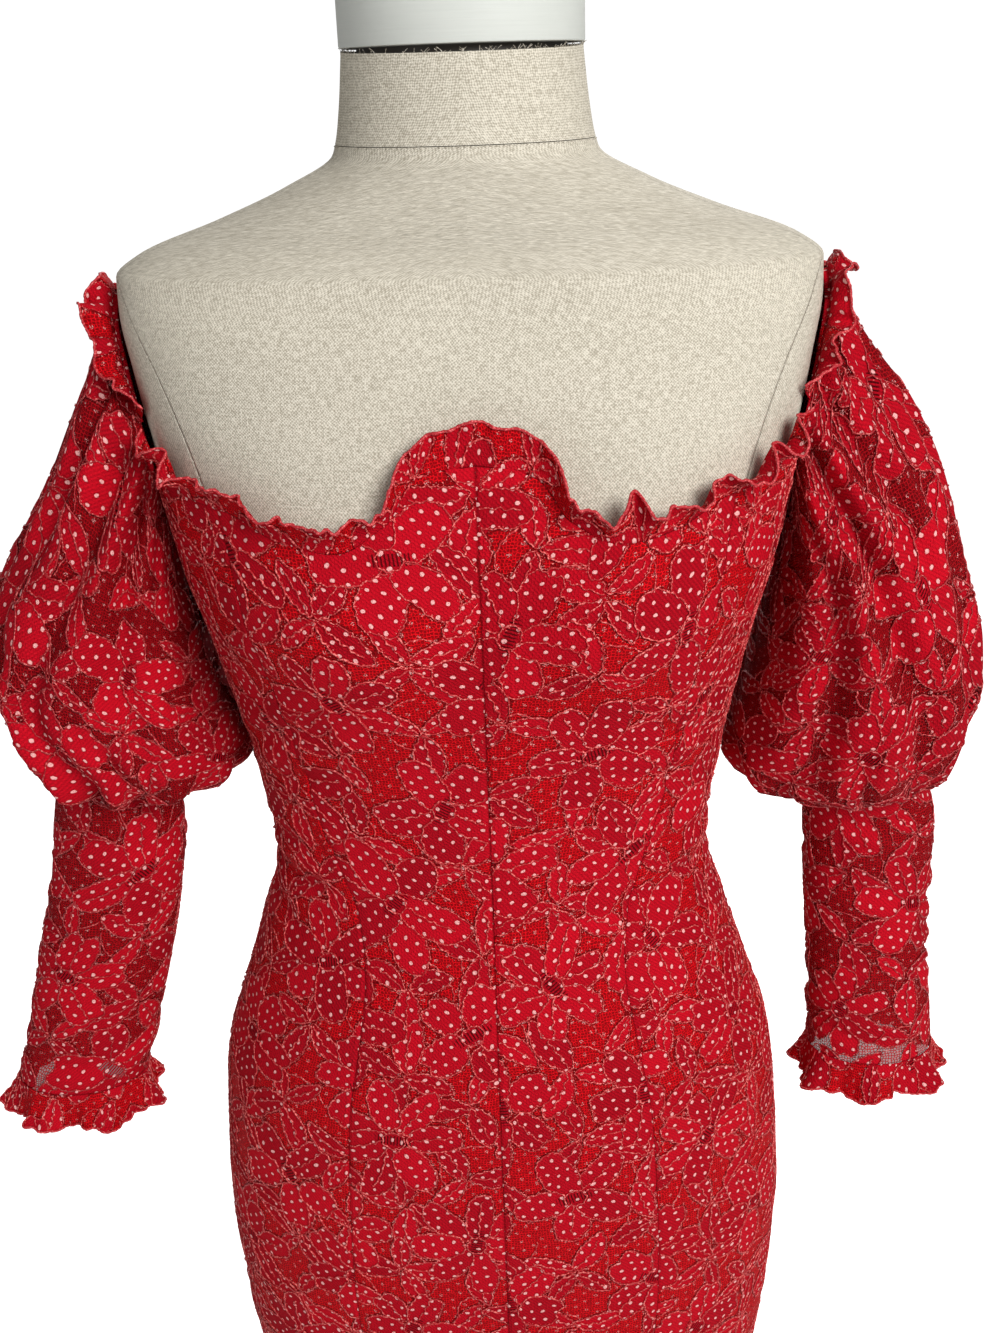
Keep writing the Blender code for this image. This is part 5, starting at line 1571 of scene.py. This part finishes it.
def camera():
    """The photograph's own view."""
    data = bpy.data.cameras.new("photo_camera")
    data.sensor_width = SENSOR_MM
    data.lens = SENSOR_MM * FOCAL_PX / LONG_SIDE_PX
    data.clip_start = 0.05
    thing = bpy.data.objects.new("photo_camera", data)
    bpy.context.scene.collection.objects.link(thing)
    down, roll = math.radians(CAMERA_DOWN), math.radians(CAMERA_ROLL)
    ahead = Vector((0, math.cos(down), -math.sin(down)))
    up, right = Vector((0, math.sin(down), math.cos(down))), Vector((1, 0, 0))
    axes = Matrix((right * math.cos(roll) - up * math.sin(roll),
                   right * math.sin(roll) + up * math.cos(roll), -ahead)).transposed()
    thing.matrix_world = Matrix.Translation(CAMERA_PLACE) @ axes.to_4x4()
    bpy.context.scene.camera = thing


def soft_light(name, place, aim, size, power):
    """A round white light of so many watts that faces a place."""
    data = bpy.data.lights.new(name, "AREA")
    data.shape = "DISK"
    data.size, data.energy = size, power
    thing = bpy.data.objects.new(name, data)
    bpy.context.scene.collection.objects.link(thing)
    thing.location = place
    thing.rotation_euler = (Vector(aim) - Vector(place)).to_track_quat("-Z", "Y").to_euler()
    return thing


def studio():
    """A pale floor, a white surround and soft lights."""
    material, shader, board = material_board("studio_floor")
    pale = board.mix(board.noise(board.here(), 3.0), (0.86, 0.86, 0.86, 1), (0.90, 0.90, 0.90, 1))
    light = board.node("ShaderNodeLightPath").outputs
    plainly = board.sum("LESS_THAN", light["Transparent Depth"], 0.5)
    seen = board.times(light["Is Camera Ray"], plainly)
    board.join(shader, {"Base Color": pale, "Emission Color": pale, "Roughness": 0.9,
                        "Emission Strength": board.times(seen, 0.9)})
    mesh = bpy.data.meshes.new("floor")
    mesh.from_pydata([(-15, -15, 0), (15, -15, 0), (15, 15, 0), (-15, 15, 0)], [], [(0, 1, 2, 3)])
    mesh.materials.append(material)
    floor = bpy.data.objects.new("floor", mesh)
    bpy.context.scene.collection.objects.link(floor)
    key = soft_light("key_light", (1.30, -2.1, 2.5), (0, 0, 1.05), 1.5, 80)
    fill = soft_light("fill_light", (-2.2, -1.9, 1.8), (0, 0, 1.0), 1.8, 6)
    back = soft_light("back_light", (0.5, 2.5, 2.4), (0, 0, 1.0), 1.8, 45)
    world = bpy.data.worlds.new("white_surround")
    world.use_nodes = True
    sky = world.node_tree.nodes["Background"]
    sky.inputs[0].default_value = (1, 1, 1, 1)
    board = Board(world.node_tree)
    seen = board.node("ShaderNodeLightPath").outputs["Is Camera Ray"]
    board.join(sky, {1: board.sum("MULTIPLY_ADD", seen, 0.72, 0.32)})
    bpy.context.scene.world = world
    bpy.context.scene.view_settings.view_transform = "Standard"


def main():
    camera()
    studio()
    lace = lace_group()
    body_lace = lace_material("body_lace", lace, 0.0)
    puff_lace = lace_material("puff_lace", lace, 0.40)
    sleeve_lace = lace_material("sleeve_lace", lace, 0.34)
    frill_lace = lace_material("frill_lace", lace, 0.0)
    # The pale colours of the lace's cords and rolled edge thread are painted glints of light on the twisted
    # thread
    cord_finish = thread_material("outline_cord", (0.46, 0.006, 0.012, 1), (0.90, 0.20, 0.18, 1), 850, 0.48)
    sleeve_cord = thread_material("sleeve_cord", (0.36, 0.004, 0.010, 1), (0.78, 0.15, 0.14, 1), 850, 0.38)
    edge_finish = thread_material("edge_thread", (0.42, 0.006, 0.014, 1), (0.80, 0.13, 0.13, 1), 1100, 0.35)
    linen_thread = thread_material("linen_thread", (0.30, 0.26, 0.20, 1), (0.66, 0.61, 0.52, 1), 900)
    weave = linen_group()
    linen = linen_material("linen", weave, 0.0)
    neck_linen = linen_material("bias_linen", weave, math.radians(45))
    painted = painted_material()
    steel = metal_material("steel", (0.30, 0.30, 0.31, 1), (0.46, 0.46, 0.47, 1), (14, 14, 240), 0.34, 1.0)
    zip_metal = metal_material("red_zip", (0.32, 0.008, 0.014, 1), (0.46, 0.014, 0.024, 1),
                               (300, 300, 300), 0.36, 0.4)
    threads = Threads(cord_tree(), stitch_tree(), cord_finish, sleeve_cord, edge_finish, linen_thread)
    dress_form(linen, neck_linen, painted, threads)
    stand(steel)
    dress(threads, body_lace, puff_lace, sleeve_lace, frill_lace)
    zip_coil(thread_material("zip_nylon", (0.30, 0.006, 0.012, 1), (0.50, 0.016, 0.026, 1), 600, 0.5, 0.35))
    for node in ("zip_chain", "zip_slider", "zip_pull"):
        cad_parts[node].data.materials.clear()
        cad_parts[node].data.materials.append(zip_metal)


main()
